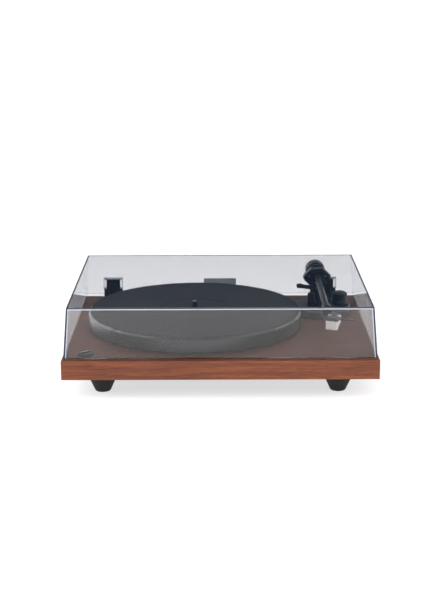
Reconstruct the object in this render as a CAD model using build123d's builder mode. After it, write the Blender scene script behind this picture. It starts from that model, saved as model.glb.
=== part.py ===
from build123d import *
import os
from math import cos, radians, sin, sqrt

os.makedirs("parts", exist_ok=True)

# Record player with a walnut plinth, belt drive under the platter and a hinged dust cover.
# Origin: on the floor under the middle of the plinth. Front is -Y, up is +Z, millimetres.

# Plinth and feet
plinth_width = 415.0
plinth_depth = 335.0
plinth_height = 25.6
foot_height = 28.0
plinth_top = foot_height + plinth_height
plinth_bevel = 0.7
cover_thickness = 3.0
cover_margin = 13.5
cover_gap = 0.5
ledge_width = 6.0
top_panel = 9.6
cavity_floor = foot_height + cover_thickness
cavity_ceiling = plinth_top - top_panel
foot_inset_x = 50.5
foot_inset_y = 45.0
foot_top_radius = 18.0
foot_bottom_radius = 10.6
foot_edge = 1.0
foot_cone_top = 17.5
boss_radius = 13.0
foot_points = [
    (side * (plinth_width / 2 - foot_inset_x), end * (plinth_depth / 2 - foot_inset_y))
    for end in (-1, 1)
    for side in (-1, 1)
]
foot_names = ["front_left", "front_right", "rear_left", "rear_right"]
wood_screw_radius = 1.5
wood_screw_head = 3.0

# Platter and its bearing
platter_x = -35.7
platter_y = 7.9
platter_radius = 150.0
platter_bottom = plinth_top + 2.5
platter_top = 76.5
platter_bevel = 2.6
platter_rim = 13.0
platter_plate = 5.0
mat_radius = 146.4
mat_recess = 1.5
mat_thickness = 2.5
mat_top = platter_top - mat_recess + mat_thickness
spindle_radius = 3.6
spindle_top = 88.5
spindle_seat_radius = 3.9
spindle_seat_top = 76.4
spindle_relief = 0.2
spindle_wall_bottom = 77.0
shaft_radius = 4.0
running_gap = 0.05
thin_gap = 0.3
hub_radius = 60.0
bearing_radius = 9.0
bearing_flange_radius = 21.0
bearing_flange = 2.0
bearing_bottom = cavity_floor + 1.0
thrust_pad_top = bearing_bottom + 3.0
ball_radius = 2.0
shaft_bottom = thrust_pad_top + 2 * ball_radius + 2 * running_gap

# Motor and belt
motor_x = -117.7
motor_y = -49.5
motor_radius = 19.0
motor_plate_size = 58.0
motor_plate_thickness = 1.5
pulley_radius = 5.0
pulley_bottom = 57.0
pulley_top = 69.0
belt_bottom = 60.0
belt_width = 5.0
belt_thickness = 0.8

# Tonearm
pivot_x = 143.5
pivot_y = 100.0
arm_axis_z = 100.0
arm_base_x = 149.0
arm_base_y = 71.0
arm_base_radius = 41.0
arm_base_height = 12.0
arm_base_top = plinth_top + arm_base_height
tube_radius = 4.5
tube_front_y = -88.0
yoke_width = 38.0
yoke_top = 112.5
yoke_bottom = 85.5
yoke_depth = 13.0
yoke_corner = 10.0
yoke_wall = 5.0
headshell_angle = 24.0
cartridge_front_x = 147.0
cartridge_front_y = -118.0
cartridge_width = 15.0
cartridge_length = 17.0
cartridge_bottom = 81.0
headshell_top = 97.0
headshell_thickness = 4.0
headshell_bottom = headshell_top - headshell_thickness
screw_pitch = 12.7
screw_setback = 13.0
stylus_tip_z = 79.6
lift_radius = 40.0
counterweight_radius = 14.5
counterweight_front = 127.0
counterweight_length = 21.0

# Dust cover
lid_width = 410.4
lid_front = -158.4
lid_rear = 166.6
lid_bottom = plinth_top + 0.8
lid_top = 120.6
lid_draft = 4.9
lid_wall = 2.4
hinge_x = 162.3
hinge_y = 160.0
hinge_z = 62.0
hinge_width = 28.0
hinge_knuckle = 5.5
hinge_pin_radius = 1.6


def level(x, y, z):
    """Horizontal plane through a point."""
    return Plane(origin=(x, y, z))


def upright(x, y):
    """Plane facing the front, with its origin on the floor at a point."""
    return Plane(origin=(x, y, 0), x_dir=(1, 0, 0), z_dir=(0, -1, 0))


def across(x, y, z):
    """Plane facing right, with its sketch x along +Y and y along +Z."""
    return Plane(origin=(x, y, z), x_dir=(0, 1, 0), z_dir=(1, 0, 0))


def facing(x, y, z):
    """Plane facing the front, with sketch x along +X and y along +Z."""
    return Plane(origin=(x, y, z), x_dir=(1, 0, 0), z_dir=(0, -1, 0))


def ring_points(x, y, radius, count, start=0.0):
    """Evenly spaced points on a circle."""
    turns = [radians(start + 360.0 * step / count) for step in range(count)]
    return [(x + radius * cos(turn), y + radius * sin(turn)) for turn in turns]


# ---- Plinth: board box with a routed cavity, open below ----

bearing_screw_points = ring_points(platter_x, platter_y, 15.5, 3, 90.0)
arm_screw_points = ring_points(arm_base_x, arm_base_y, 29.0, 3, 40.0)
knob_x = -178.8
knob_y = -137.3
knob_shaft_radius = 3.0
jack_panel_x = 118.0
jack_panel_width = 92.0
jack_panel_height = 19.0
jack_panel_z = 41.0
jack_recess = 11.0
jack_window_width = 76.0
jack_window_height = 13.0
motor_screw_points = [
    (motor_x + side * 22.5, motor_y + end * 22.5) for side in (-1, 1) for end in (-1, 1)
]

with BuildPart() as plinth:
    with BuildSketch(Plane.XY.offset(foot_height)):
        Rectangle(plinth_width, plinth_depth)
    extrude(amount=plinth_height)
    outer_edges = plinth.edges().filter_by(Axis.Z) + plinth.edges().group_by(Axis.Z)[-1]
    chamfer(outer_edges, plinth_bevel)
    with BuildSketch(Plane.XY.offset(foot_height)):
        Rectangle(plinth_width - 2 * cover_margin, plinth_depth - 2 * cover_margin)
    extrude(amount=cover_thickness, mode=Mode.SUBTRACT)
    with BuildSketch(Plane.XY.offset(cavity_floor)):
        rim = cover_margin + ledge_width
        Rectangle(plinth_width - 2 * rim, plinth_depth - 2 * rim)
        with Locations(*foot_points):
            Circle(boss_radius, mode=Mode.SUBTRACT)
    extrude(amount=cavity_ceiling - cavity_floor, mode=Mode.SUBTRACT)
    with BuildSketch(Plane.XY.offset(cavity_floor)):
        with Locations((platter_x, platter_y)):
            Circle(bearing_radius)
        with Locations((motor_x, motor_y)):
            Circle(7.5)
        with Locations((knob_x, knob_y)):
            Circle(knob_shaft_radius + thin_gap)
        with Locations((pivot_x, pivot_y)):
            Circle(6.0)
    extrude(amount=plinth_height, mode=Mode.SUBTRACT)
    with BuildSketch(facing(jack_panel_x, plinth_depth / 2, jack_panel_z)):
        Rectangle(jack_panel_width, jack_panel_height)
    extrude(amount=jack_recess, mode=Mode.SUBTRACT)
    with BuildSketch(facing(jack_panel_x, plinth_depth / 2, jack_panel_z - 4.0)):
        Rectangle(jack_window_width, jack_window_height)
    extrude(amount=jack_recess + rim, mode=Mode.SUBTRACT)
    with BuildSketch(Plane.XY.offset(cavity_floor)):
        with Locations(*foot_points):
            Circle(wood_screw_radius)
    extrude(amount=10.0, mode=Mode.SUBTRACT)
    with BuildSketch(Plane.XY.offset(cavity_ceiling - 1.0)):
        with Locations(*arm_screw_points):
            Circle(wood_screw_radius + thin_gap)
    extrude(amount=top_panel + 1.0, mode=Mode.SUBTRACT)
    with BuildSketch(Plane.XY.offset(plinth_top - 7.0)):
        with Locations(*bearing_screw_points):
            Circle(wood_screw_radius)
    extrude(amount=7.0, mode=Mode.SUBTRACT)
    with BuildSketch(Plane.XY.offset(cavity_ceiling)):
        with Locations(*motor_screw_points):
            Circle(wood_screw_radius)
    extrude(amount=6.0, mode=Mode.SUBTRACT)
plinth.part.label = "plinth"
export_step(plinth.part, "parts/plinth.step")

cover_width = plinth_width - 2 * cover_margin - 2 * cover_gap
cover_depth = plinth_depth - 2 * cover_margin - 2 * cover_gap
cover_screw_points = [
    (side * (cover_width / 2 - 3.0), end * 42.0) for side in (-1, 1) for end in (-1, 1)
] + [(side * 60.0, end * (cover_depth / 2 - 3.0)) for side in (-1, 1) for end in (-1, 1)]

with BuildPart() as bottom_cover:
    with BuildSketch(Plane.XY.offset(foot_height)):
        Rectangle(cover_width, cover_depth)
        with Locations(*foot_points):
            Circle(wood_screw_radius + 0.2, mode=Mode.SUBTRACT)
        with Locations(*cover_screw_points):
            Circle(wood_screw_radius, mode=Mode.SUBTRACT)
        with Locations((motor_x, motor_y)):
            with GridLocations(7.0, 1.0, 6, 1):
                SlotOverall(30.0, 3.0, rotation=90, mode=Mode.SUBTRACT)
    extrude(amount=cover_thickness)
bottom_cover.part.label = "bottom_cover"
export_step(bottom_cover.part, "parts/bottom_cover.step")

with BuildPart() as cover_screws:
    with BuildSketch(Plane.XY.offset(foot_height - 1.6)):
        with Locations(*cover_screw_points):
            Circle(wood_screw_head)
            RegularPolygon(1.2, 6, mode=Mode.SUBTRACT)
    extrude(amount=1.6)
    with BuildSketch(Plane.XY.offset(foot_height - 0.4)):
        with Locations(*cover_screw_points):
            Circle(wood_screw_radius - 0.1)
    extrude(amount=cover_thickness + 0.4)
cover_screws.part.label = "cover_screws"
export_step(cover_screws.part, "parts/cover_screws.step")

foot_bore = 4.6
foot_bore_depth = 9.0
for foot_name, (foot_x, foot_y) in zip(foot_names, foot_points):
    with BuildPart(level(foot_x, foot_y, 0)) as foot:
        with BuildSketch(upright(foot_x, foot_y)):
            with BuildLine():
                Polyline(
                    (foot_bore, 0),
                    (foot_bottom_radius - foot_edge, 0),
                    (foot_bottom_radius, foot_edge),
                    (foot_top_radius, foot_cone_top),
                    (foot_top_radius, foot_height),
                    (wood_screw_radius + 0.2, foot_height),
                    (wood_screw_radius + 0.2, foot_bore_depth),
                    (foot_bore, foot_bore_depth),
                    close=True,
                )
            make_face()
        revolve(axis=Axis((foot_x, foot_y, 0), (0, 0, 1)))
    foot.part.label = "foot_" + foot_name
    export_step(foot.part, f"parts/foot_{foot_name}.step")

with BuildPart() as foot_screws:
    with BuildSketch(Plane.XY.offset(foot_bore_depth - 3.0)):
        with Locations(*foot_points):
            Circle(4.0)
    extrude(amount=3.0)
    with BuildSketch(Plane.XY.offset(foot_bore_depth - 1.0)):
        with Locations(*foot_points):
            Circle(wood_screw_radius - 0.1)
    extrude(amount=cavity_floor + 8.0 - foot_bore_depth)
    with BuildSketch(Plane.XY.offset(foot_bore_depth - 3.0)):
        with Locations(*foot_points):
            RegularPolygon(1.8, 6)
    extrude(amount=1.8, mode=Mode.SUBTRACT)
foot_screws.part.label = "foot_screws"
export_step(foot_screws.part, "parts/foot_screws.step")

# ---- Main bearing ----

with BuildPart() as bearing_housing:
    with BuildSketch(Plane.XY.offset(bearing_bottom)):
        with Locations((platter_x, platter_y)):
            Circle(bearing_radius)
    extrude(amount=plinth_top - bearing_bottom)
    with BuildSketch(Plane.XY.offset(plinth_top)):
        with Locations((platter_x, platter_y)):
            Circle(bearing_flange_radius)
        with Locations(*bearing_screw_points):
            Circle(wood_screw_radius, mode=Mode.SUBTRACT)
    extrude(amount=bearing_flange)
    with BuildSketch(Plane.XY.offset(bearing_bottom + 1.5)):
        with Locations((platter_x, platter_y)):
            Circle(6.0)
    extrude(amount=30.0, mode=Mode.SUBTRACT)
bearing_housing.part.label = "bearing_housing"
export_step(bearing_housing.part, "parts/bearing_housing.step")

with BuildPart() as bearing_bushes:
    for bush_bottom in (40.5, 48.0):
        with BuildSketch(Plane.XY.offset(bush_bottom)):
            with Locations((platter_x, platter_y)):
                Circle(6.0)
                Circle(shaft_radius + running_gap, mode=Mode.SUBTRACT)
        extrude(amount=6.5)
bearing_bushes.part.label = "bearing_bushes"
export_step(bearing_bushes.part, "parts/bearing_bushes.step")

with BuildPart() as thrust_pad:
    with BuildSketch(Plane.XY.offset(bearing_bottom + 1.5)):
        with Locations((platter_x, platter_y)):
            Circle(5.9)
    extrude(amount=thrust_pad_top - bearing_bottom - 1.5)
thrust_pad.part.label = "thrust_pad"
export_step(thrust_pad.part, "parts/thrust_pad.step")

with BuildPart(level(platter_x, platter_y, thrust_pad_top + ball_radius + running_gap)) as thrust_ball:
    Sphere(ball_radius)
thrust_ball.part.label = "thrust_ball"
export_step(thrust_ball.part, "parts/thrust_ball.step")

platter_axis = Axis((platter_x, platter_y, 0), (0, 0, 1))
shoulder_z = 58.5
hub_top = platter_top - platter_plate
with BuildPart() as spindle:
    with BuildSketch(upright(platter_x, platter_y)):
        with BuildLine():
            Polyline(
                (0, shaft_bottom),
                (shaft_radius - 0.5, shaft_bottom),
                (shaft_radius, shaft_bottom + 0.5),
                (shaft_radius, shoulder_z),
                (8.0, shoulder_z),
                (8.0, shoulder_z + 3.0),
                (spindle_seat_radius, shoulder_z + 3.0),
                (spindle_seat_radius, spindle_seat_top),
                (spindle_radius - spindle_relief, spindle_seat_top),
                (spindle_radius - spindle_relief, spindle_wall_bottom),
                (spindle_radius, spindle_wall_bottom),
                (spindle_radius, spindle_top - 2.0),
            )
            ThreePointArc(
                (spindle_radius, spindle_top - 2.0), (2.6, spindle_top - 0.5), (1.0, spindle_top)
            )
            Line((1.0, spindle_top), (0, spindle_top))
            Line((0, spindle_top), (0, shaft_bottom))
        make_face()
    revolve(axis=platter_axis)
spindle.part.label = "spindle"
export_step(spindle.part, "parts/spindle.step")

with BuildPart() as sub_platter:
    with BuildSketch(upright(platter_x, platter_y)):
        with BuildLine():
            Polyline(
                (8.0, shoulder_z + 3.0),
                (hub_radius - 6.0, shoulder_z + 3.0),
                (hub_radius - 6.0, belt_bottom - 2.0),
                (hub_radius + 1.5, belt_bottom - 2.0),
                (hub_radius + 1.5, belt_bottom - 0.8),
                (hub_radius, belt_bottom - 0.4),
                (hub_radius, hub_top),
                (hub_radius - 4.0, hub_top),
                (hub_radius - 4.0, hub_top - 5.0),
                (14.0, hub_top - 5.0),
                (14.0, hub_top),
                (spindle_seat_radius, hub_top),
                (spindle_seat_radius, shoulder_z + 3.0),
                close=True,
            )
        make_face()
    revolve(axis=platter_axis)
sub_platter.part.label = "sub_platter"
export_step(sub_platter.part, "parts/sub_platter.step")

with BuildPart() as platter:
    with BuildSketch(upright(platter_x, platter_y)):
        with BuildLine():
            Polyline(
                (spindle_seat_radius, hub_top),
                (platter_radius - platter_rim, hub_top),
                (platter_radius - platter_rim, platter_bottom),
                (platter_radius - 0.6, platter_bottom),
                (platter_radius, platter_bottom + 0.6),
                (platter_radius, platter_top - platter_bevel),
                (platter_radius - platter_bevel, platter_top),
                (mat_radius + 0.3, platter_top),
                (mat_radius + 0.3, platter_top - mat_recess),
                (spindle_seat_radius, platter_top - mat_recess),
                close=True,
            )
        make_face()
    revolve(axis=platter_axis)
platter.part.label = "platter"
export_step(platter.part, "parts/platter.step")

with BuildPart() as mat:
    with BuildSketch(Plane.XY.offset(platter_top - mat_recess)):
        with Locations((platter_x, platter_y)):
            Circle(mat_radius)
            Circle(spindle_seat_radius, mode=Mode.SUBTRACT)
    extrude(amount=mat_thickness)
    with BuildSketch(Plane.XY.offset(mat_top - 0.8)):
        with Locations((platter_x, platter_y)):
            Circle(50.0)
            Circle(spindle_seat_radius, mode=Mode.SUBTRACT)
    extrude(amount=0.8, mode=Mode.SUBTRACT)
mat.part.label = "mat"
export_step(mat.part, "parts/mat.step")

# ---- Motor and belt ----

motor_bottom = 32.0
plate_bottom = cavity_ceiling - 1.5 - motor_plate_thickness
isolator_radius = 4.5
with BuildPart() as motor_plate:
    with BuildSketch(Plane.XY.offset(plate_bottom)):
        with Locations((motor_x, motor_y)):
            RectangleRounded(motor_plate_size, motor_plate_size, 6.0)
            Circle(5.5, mode=Mode.SUBTRACT)
        with Locations(*motor_screw_points):
            Circle(isolator_radius - 1.0, mode=Mode.SUBTRACT)
    extrude(amount=motor_plate_thickness)
motor_plate.part.label = "motor_plate"
export_step(motor_plate.part, "parts/motor_plate.step")

with BuildPart() as motor_isolators:
    with BuildSketch(Plane.XY.offset(plate_bottom - 1.5)):
        with Locations(*motor_screw_points):
            Circle(isolator_radius)
            Circle(wood_screw_radius, mode=Mode.SUBTRACT)
    extrude(amount=1.5)
    with BuildSketch(Plane.XY.offset(plate_bottom)):
        with Locations(*motor_screw_points):
            Circle(isolator_radius - 1.0)
            Circle(wood_screw_radius, mode=Mode.SUBTRACT)
    extrude(amount=motor_plate_thickness)
    with BuildSketch(Plane.XY.offset(plate_bottom + motor_plate_thickness)):
        with Locations(*motor_screw_points):
            Circle(isolator_radius)
            Circle(wood_screw_radius, mode=Mode.SUBTRACT)
    extrude(amount=1.5)
motor_isolators.part.label = "motor_isolators"
export_step(motor_isolators.part, "parts/motor_isolators.step")

motor_shaft_radius = 1.0
with BuildPart() as motor_case:
    with BuildSketch(Plane.XY.offset(motor_bottom)):
        with Locations((motor_x, motor_y)):
            Circle(motor_radius)
    extrude(amount=plate_bottom - motor_bottom)
    fillet(motor_case.edges().group_by(Axis.Z)[0], 1.2)
    with BuildSketch(Plane.XY.offset(plate_bottom)):
        with Locations((motor_x, motor_y)):
            Circle(5.0)
    extrude(amount=5.0)
    with BuildSketch(Plane.XY.offset(motor_bottom + 2.0)):
        with Locations((motor_x, motor_y)):
            Circle(motor_shaft_radius + running_gap)
    extrude(amount=20.0, mode=Mode.SUBTRACT)
motor_case.part.label = "motor_case"
export_step(motor_case.part, "parts/motor_case.step")

with BuildPart() as motor_shaft:
    with BuildSketch(Plane.XY.offset(motor_bottom + 2.5)):
        with Locations((motor_x, motor_y)):
            Circle(motor_shaft_radius)
    extrude(amount=pulley_top - motor_bottom - 1.5)
motor_shaft.part.label = "motor_shaft"
export_step(motor_shaft.part, "parts/motor_shaft.step")

with BuildPart() as motor_pulley:
    with BuildSketch(upright(motor_x, motor_y)):
        with BuildLine():
            Polyline(
                (motor_shaft_radius, pulley_bottom),
                (pulley_radius + 1.5, pulley_bottom),
                (pulley_radius + 1.5, belt_bottom - 1.2),
                (pulley_radius, belt_bottom - 0.6),
                (pulley_radius, belt_bottom + belt_width + 0.6),
                (pulley_radius + 1.5, belt_bottom + belt_width + 1.2),
                (pulley_radius + 1.5, pulley_top),
                (motor_shaft_radius, pulley_top),
                close=True,
            )
        make_face()
    revolve(axis=Axis((motor_x, motor_y, 0), (0, 0, 1)))
motor_pulley.part.label = "motor_pulley"
export_step(motor_pulley.part, "parts/motor_pulley.step")

with BuildPart() as drive_belt:
    with BuildSketch(Plane.XY.offset(belt_bottom)):
        with Locations((platter_x, platter_y)):
            Circle(hub_radius + thin_gap + belt_thickness)
        with Locations((motor_x, motor_y)):
            Circle(pulley_radius + thin_gap + belt_thickness)
        make_hull()
    extrude(amount=belt_width)
    with BuildSketch(Plane.XY.offset(belt_bottom)):
        with Locations((platter_x, platter_y)):
            Circle(hub_radius + thin_gap)
        with Locations((motor_x, motor_y)):
            Circle(pulley_radius + thin_gap)
        make_hull()
    extrude(amount=belt_width, mode=Mode.SUBTRACT)
drive_belt.part.label = "drive_belt"
export_step(drive_belt.part, "parts/drive_belt.step")

# ---- Controls and electronics ----

knob_radius = 10.6
knob_bottom = plinth_top + 0.4
knob_height = 2.8
with BuildPart() as speed_knob:
    with BuildSketch(Plane.XY.offset(knob_bottom)):
        with Locations((knob_x, knob_y)):
            Circle(knob_radius)
    extrude(amount=knob_height)
    chamfer(speed_knob.edges().group_by(Axis.Z)[-1], 0.6)
    with BuildSketch(Plane.XY.offset(knob_bottom + knob_height)):
        with Locations((knob_x, knob_y)):
            SlotOverall(17.0, 2.6, rotation=40.0)
    extrude(amount=1.4)
    with BuildSketch(Plane.XY.offset(knob_bottom)):
        with Locations((knob_x, knob_y)):
            Circle(knob_shaft_radius)
    extrude(amount=cavity_ceiling - 1.0 - knob_bottom)
speed_knob.part.label = "speed_knob"
export_step(speed_knob.part, "parts/speed_knob.step")

switch_size = 15.0
with BuildPart() as rotary_switch:
    with BuildSketch(Plane.XY.offset(cavity_ceiling - 9.0)):
        with Locations((knob_x, knob_y)):
            RectangleRounded(switch_size, switch_size, 1.0)
    extrude(amount=9.0)
    with BuildSketch(Plane.XY.offset(cavity_ceiling - 3.0)):
        with Locations((knob_x, knob_y)):
            Circle(knob_shaft_radius + running_gap)
    extrude(amount=3.0, mode=Mode.SUBTRACT)
    with BuildSketch(Plane.XY.offset(cavity_ceiling - 11.5)):
        with Locations((knob_x, knob_y)):
            with GridLocations(4.0, 8.0, 3, 2):
                Rectangle(1.0, 0.6)
    extrude(amount=2.5)
rotary_switch.part.label = "rotary_switch"
export_step(rotary_switch.part, "parts/rotary_switch.step")

board_z = 36.0
board_y = 122.0
with BuildPart() as circuit_board:
    with BuildSketch(Plane.XY.offset(board_z)):
        with Locations((jack_panel_x - 20.0, board_y)):
            Rectangle(64.0, 36.0)
            with GridLocations(56.0, 28.0, 2, 2):
                Circle(1.6, mode=Mode.SUBTRACT)
    extrude(amount=1.6)
circuit_board.part.label = "circuit_board"
export_step(circuit_board.part, "parts/circuit_board.step")

with BuildPart() as board_parts:
    with BuildSketch(Plane.XY.offset(board_z - 3.0)):
        with Locations((jack_panel_x - 32.0, board_y - 4.0)):
            Rectangle(14.0, 9.0)
        with Locations((jack_panel_x - 8.0, board_y + 4.0), (jack_panel_x - 8.0, board_y - 8.0)):
            Circle(3.0)
    extrude(amount=3.0)
    with BuildSketch(Plane.XY.offset(board_z + 1.6)):
        with Locations((jack_panel_x - 20.0, board_y)):
            with GridLocations(56.0, 28.0, 2, 2):
                Circle(3.0)
    extrude(amount=cavity_ceiling - board_z - 1.6)
board_parts.part.label = "board_parts"
export_step(board_parts.part, "parts/board_parts.step")

panel_face = plinth_depth / 2 - jack_recess + 2.0
phono_z = 39.0
phono_points = [(jack_panel_x - 27.0, phono_z), (jack_panel_x - 9.0, phono_z)]
ground_point = (jack_panel_x + 9.0, phono_z)
power_point = (jack_panel_x + 27.0, phono_z)
panel_screw_points = [(jack_panel_x + side * 41.0, jack_panel_z + 4.5) for side in (-1, 1)]
panel_plane = facing(0, panel_face, 0)
with BuildPart() as jack_panel:
    with BuildSketch(panel_plane):
        with Locations((jack_panel_x, jack_panel_z)):
            Rectangle(jack_panel_width - 0.6, jack_panel_height - 0.6)
        with Locations(*phono_points):
            Circle(4.2, mode=Mode.SUBTRACT)
        with Locations(ground_point):
            Circle(2.0, mode=Mode.SUBTRACT)
        with Locations(power_point):
            Circle(4.0, mode=Mode.SUBTRACT)
        with Locations(*panel_screw_points):
            Circle(wood_screw_radius, mode=Mode.SUBTRACT)
    extrude(amount=2.0)
jack_panel.part.label = "jack_panel"
export_step(jack_panel.part, "parts/jack_panel.step")

with BuildPart() as wood_screws:
    with BuildSketch(Plane.XY.offset(plinth_top - 6.5)):
        with Locations(*bearing_screw_points):
            Circle(wood_screw_radius - 0.1)
    extrude(amount=6.5 + bearing_flange)
    with BuildSketch(Plane.XY.offset(plinth_top + bearing_flange)):
        with Locations(*bearing_screw_points):
            Circle(wood_screw_head)
            RegularPolygon(1.2, 6, mode=Mode.SUBTRACT)
    extrude(amount=1.4)
    with BuildSketch(Plane.XY.offset(plate_bottom - 3.0)):
        with Locations(*motor_screw_points):
            Circle(wood_screw_head)
    extrude(amount=1.5)
    with BuildSketch(Plane.XY.offset(plate_bottom - 1.5)):
        with Locations(*motor_screw_points):
            Circle(wood_screw_radius - 0.1)
    extrude(amount=9.0)
    with BuildSketch(panel_plane):
        with Locations(*panel_screw_points):
            Circle(wood_screw_head)
            RegularPolygon(1.2, 6, mode=Mode.SUBTRACT)
    extrude(amount=-1.4)
    with BuildSketch(panel_plane):
        with Locations(*panel_screw_points):
            Circle(wood_screw_radius - 0.1)
    extrude(amount=2.0)
wood_screws.part.label = "wood_screws"
export_step(wood_screws.part, "parts/wood_screws.step")

with BuildPart() as phono_sockets:
    with BuildSketch(panel_plane):
        with Locations(*phono_points):
            Circle(6.0)
            Circle(1.8, mode=Mode.SUBTRACT)
    extrude(amount=-1.2)
    with BuildSketch(facing(0, panel_face + 1.2, 0)):
        with Locations(*phono_points):
            Circle(4.15)
            Circle(1.8, mode=Mode.SUBTRACT)
    extrude(amount=-7.6)
    with BuildSketch(panel_plane):
        with Locations(*phono_points):
            Circle(4.15)
    extrude(amount=7.0)
phono_sockets.part.label = "phono_sockets"
export_step(phono_sockets.part, "parts/phono_sockets.step")

with BuildPart() as ground_post:
    with BuildSketch(panel_plane):
        with Locations(ground_point):
            Circle(1.9)
    extrude(amount=5.0)
    with BuildSketch(panel_plane):
        with Locations(ground_point):
            Circle(1.9)
    extrude(amount=-7.0)
    with BuildSketch(facing(0, panel_face + 1.0, 0)):
        with Locations(ground_point):
            Circle(4.0)
    extrude(amount=-4.5)
    chamfer(ground_post.edges().group_by(Axis.Y)[-1], 0.4)
ground_post.part.label = "ground_post"
export_step(ground_post.part, "parts/ground_post.step")

with BuildPart() as power_inlet:
    with BuildSketch(panel_plane):
        with Locations(power_point):
            Circle(5.2)
            Circle(2.75, mode=Mode.SUBTRACT)
    extrude(amount=-1.0)
    with BuildSketch(panel_plane):
        with Locations(power_point):
            Circle(3.95)
            Circle(2.75, mode=Mode.SUBTRACT)
    extrude(amount=9.0)
    with BuildSketch(facing(0, panel_face - 9.0, 0)):
        with Locations(power_point):
            Circle(3.95)
    extrude(amount=1.5)
    with BuildSketch(facing(0, panel_face - 0.5, 0)):
        with Locations(power_point):
            Circle(1.0)
    extrude(amount=9.0)
power_inlet.part.label = "power_inlet"
export_step(power_inlet.part, "parts/power_inlet.step")

# ---- Tonearm base, pillar and yoke ----

knob_dial_x = 174.6
knob_dial_y = 72.0
knob_dial_radius = 12.0
knob_dial_height = 18.6
pillar_radius = 10.0
pillar_top = yoke_bottom - 1.0
with BuildPart() as arm_base:
    with BuildSketch(Plane.XY.offset(plinth_top)):
        with Locations((arm_base_x, arm_base_y)):
            Circle(arm_base_radius)
    extrude(amount=arm_base_height)
    fillet(arm_base.edges().group_by(Axis.Z)[-1], 1.5)
    with BuildSketch(Plane.XY.offset(plinth_top)):
        with Locations((pivot_x, pivot_y)):
            Circle(shaft_radius + 2.0)
        with Locations((knob_dial_x, knob_dial_y)):
            Circle(2.5 + running_gap)
    extrude(amount=arm_base_height, mode=Mode.SUBTRACT)
    with BuildSketch(Plane.XY.offset(plinth_top)):
        with Locations(*arm_screw_points):
            Circle(wood_screw_radius)
    extrude(amount=8.0, mode=Mode.SUBTRACT)
arm_base.part.label = "arm_base"
export_step(arm_base.part, "parts/arm_base.step")

with BuildPart() as arm_base_screws:
    with BuildSketch(Plane.XY.offset(cavity_ceiling - 1.6)):
        with Locations(*arm_screw_points):
            Circle(wood_screw_head)
    extrude(amount=1.6)
    with BuildSketch(Plane.XY.offset(cavity_ceiling)):
        with Locations(*arm_screw_points):
            Circle(wood_screw_radius - 0.1)
    extrude(amount=top_panel + 7.5)
arm_base_screws.part.label = "arm_base_screws"
export_step(arm_base_screws.part, "parts/arm_base_screws.step")

with BuildPart() as arm_pillar:
    with BuildSketch(Plane.XY.offset(arm_base_top)):
        with Locations((pivot_x, pivot_y)):
            Circle(pillar_radius)
    extrude(amount=pillar_top - arm_base_top)
    with BuildSketch(Plane.XY.offset(plinth_top + 1.0)):
        with Locations((pivot_x, pivot_y)):
            Circle(shaft_radius + 2.0)
    extrude(amount=arm_base_height)
    with BuildSketch(Plane.XY.offset(plinth_top + 1.0)):
        with Locations((pivot_x, pivot_y)):
            Circle(shaft_radius + running_gap)
    extrude(amount=pillar_top, mode=Mode.SUBTRACT)
arm_pillar.part.label = "arm_pillar"
export_step(arm_pillar.part, "parts/arm_pillar.step")

with BuildPart() as yoke_shaft:
    with BuildSketch(Plane.XY.offset(plinth_top + 2.0)):
        with Locations((pivot_x, pivot_y)):
            Circle(shaft_radius)
            Circle(1.5, mode=Mode.SUBTRACT)
    extrude(amount=yoke_bottom - plinth_top - 2.0)
yoke_shaft.part.label = "yoke_shaft"
export_step(yoke_shaft.part, "parts/yoke_shaft.step")

yoke_height = yoke_top - yoke_bottom
yoke_middle = (yoke_top + yoke_bottom) / 2
yoke_front = pivot_y - yoke_depth / 2


def yoke_outline(width, height, corner):
    """Octagon: a rectangle with its corners cut at 45 degrees."""
    side = width / 2
    rise = height / 2
    Polyline(
        (-side, -rise + corner),
        (-side, rise - corner),
        (-side + corner, rise),
        (side - corner, rise),
        (side, rise - corner),
        (side, -rise + corner),
        (side - corner, -rise),
        (-side + corner, -rise),
        close=True,
    )


with BuildPart() as arm_yoke:
    with BuildSketch(facing(pivot_x, pivot_y + yoke_depth / 2, yoke_middle)):
        with BuildLine():
            yoke_outline(yoke_width, yoke_height, yoke_corner)
        make_face()
        with BuildLine():
            yoke_outline(
                yoke_width - 2 * yoke_wall, yoke_height - 1.6 * yoke_wall, yoke_corner - 3.5
            )
        make_face(mode=Mode.SUBTRACT)
    extrude(amount=yoke_depth)
    chamfer(arm_yoke.faces().sort_by(Axis.Y)[0].outer_wire().edges(), 0.8)
    with BuildSketch(across(pivot_x - yoke_width, pivot_y, arm_axis_z)):
        Circle(1.6)
    extrude(amount=2 * yoke_width, mode=Mode.SUBTRACT)
arm_yoke.part.label = "arm_yoke"
export_step(arm_yoke.part, "parts/arm_yoke.step")

block_half = 11.0
block_height = 15.0
block_corner = 5.5
with BuildPart() as pivot_screws:
    for side in (-1, 1):
        with BuildSketch(across(pivot_x + side * (yoke_width / 2 + 0.8), pivot_y, arm_axis_z)):
            Circle(1.6)
        extrude(amount=-side * (yoke_width / 2 + 0.8 - block_half + 2.0))
        with BuildSketch(across(pivot_x + side * yoke_width / 2, pivot_y, arm_axis_z)):
            Circle(3.2)
        extrude(amount=side * 1.6)
pivot_screws.part.label = "pivot_screws"
export_step(pivot_screws.part, "parts/pivot_screws.step")

# ---- Arm: pivot block, tube, counterweight, headshell and cartridge ----

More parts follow.
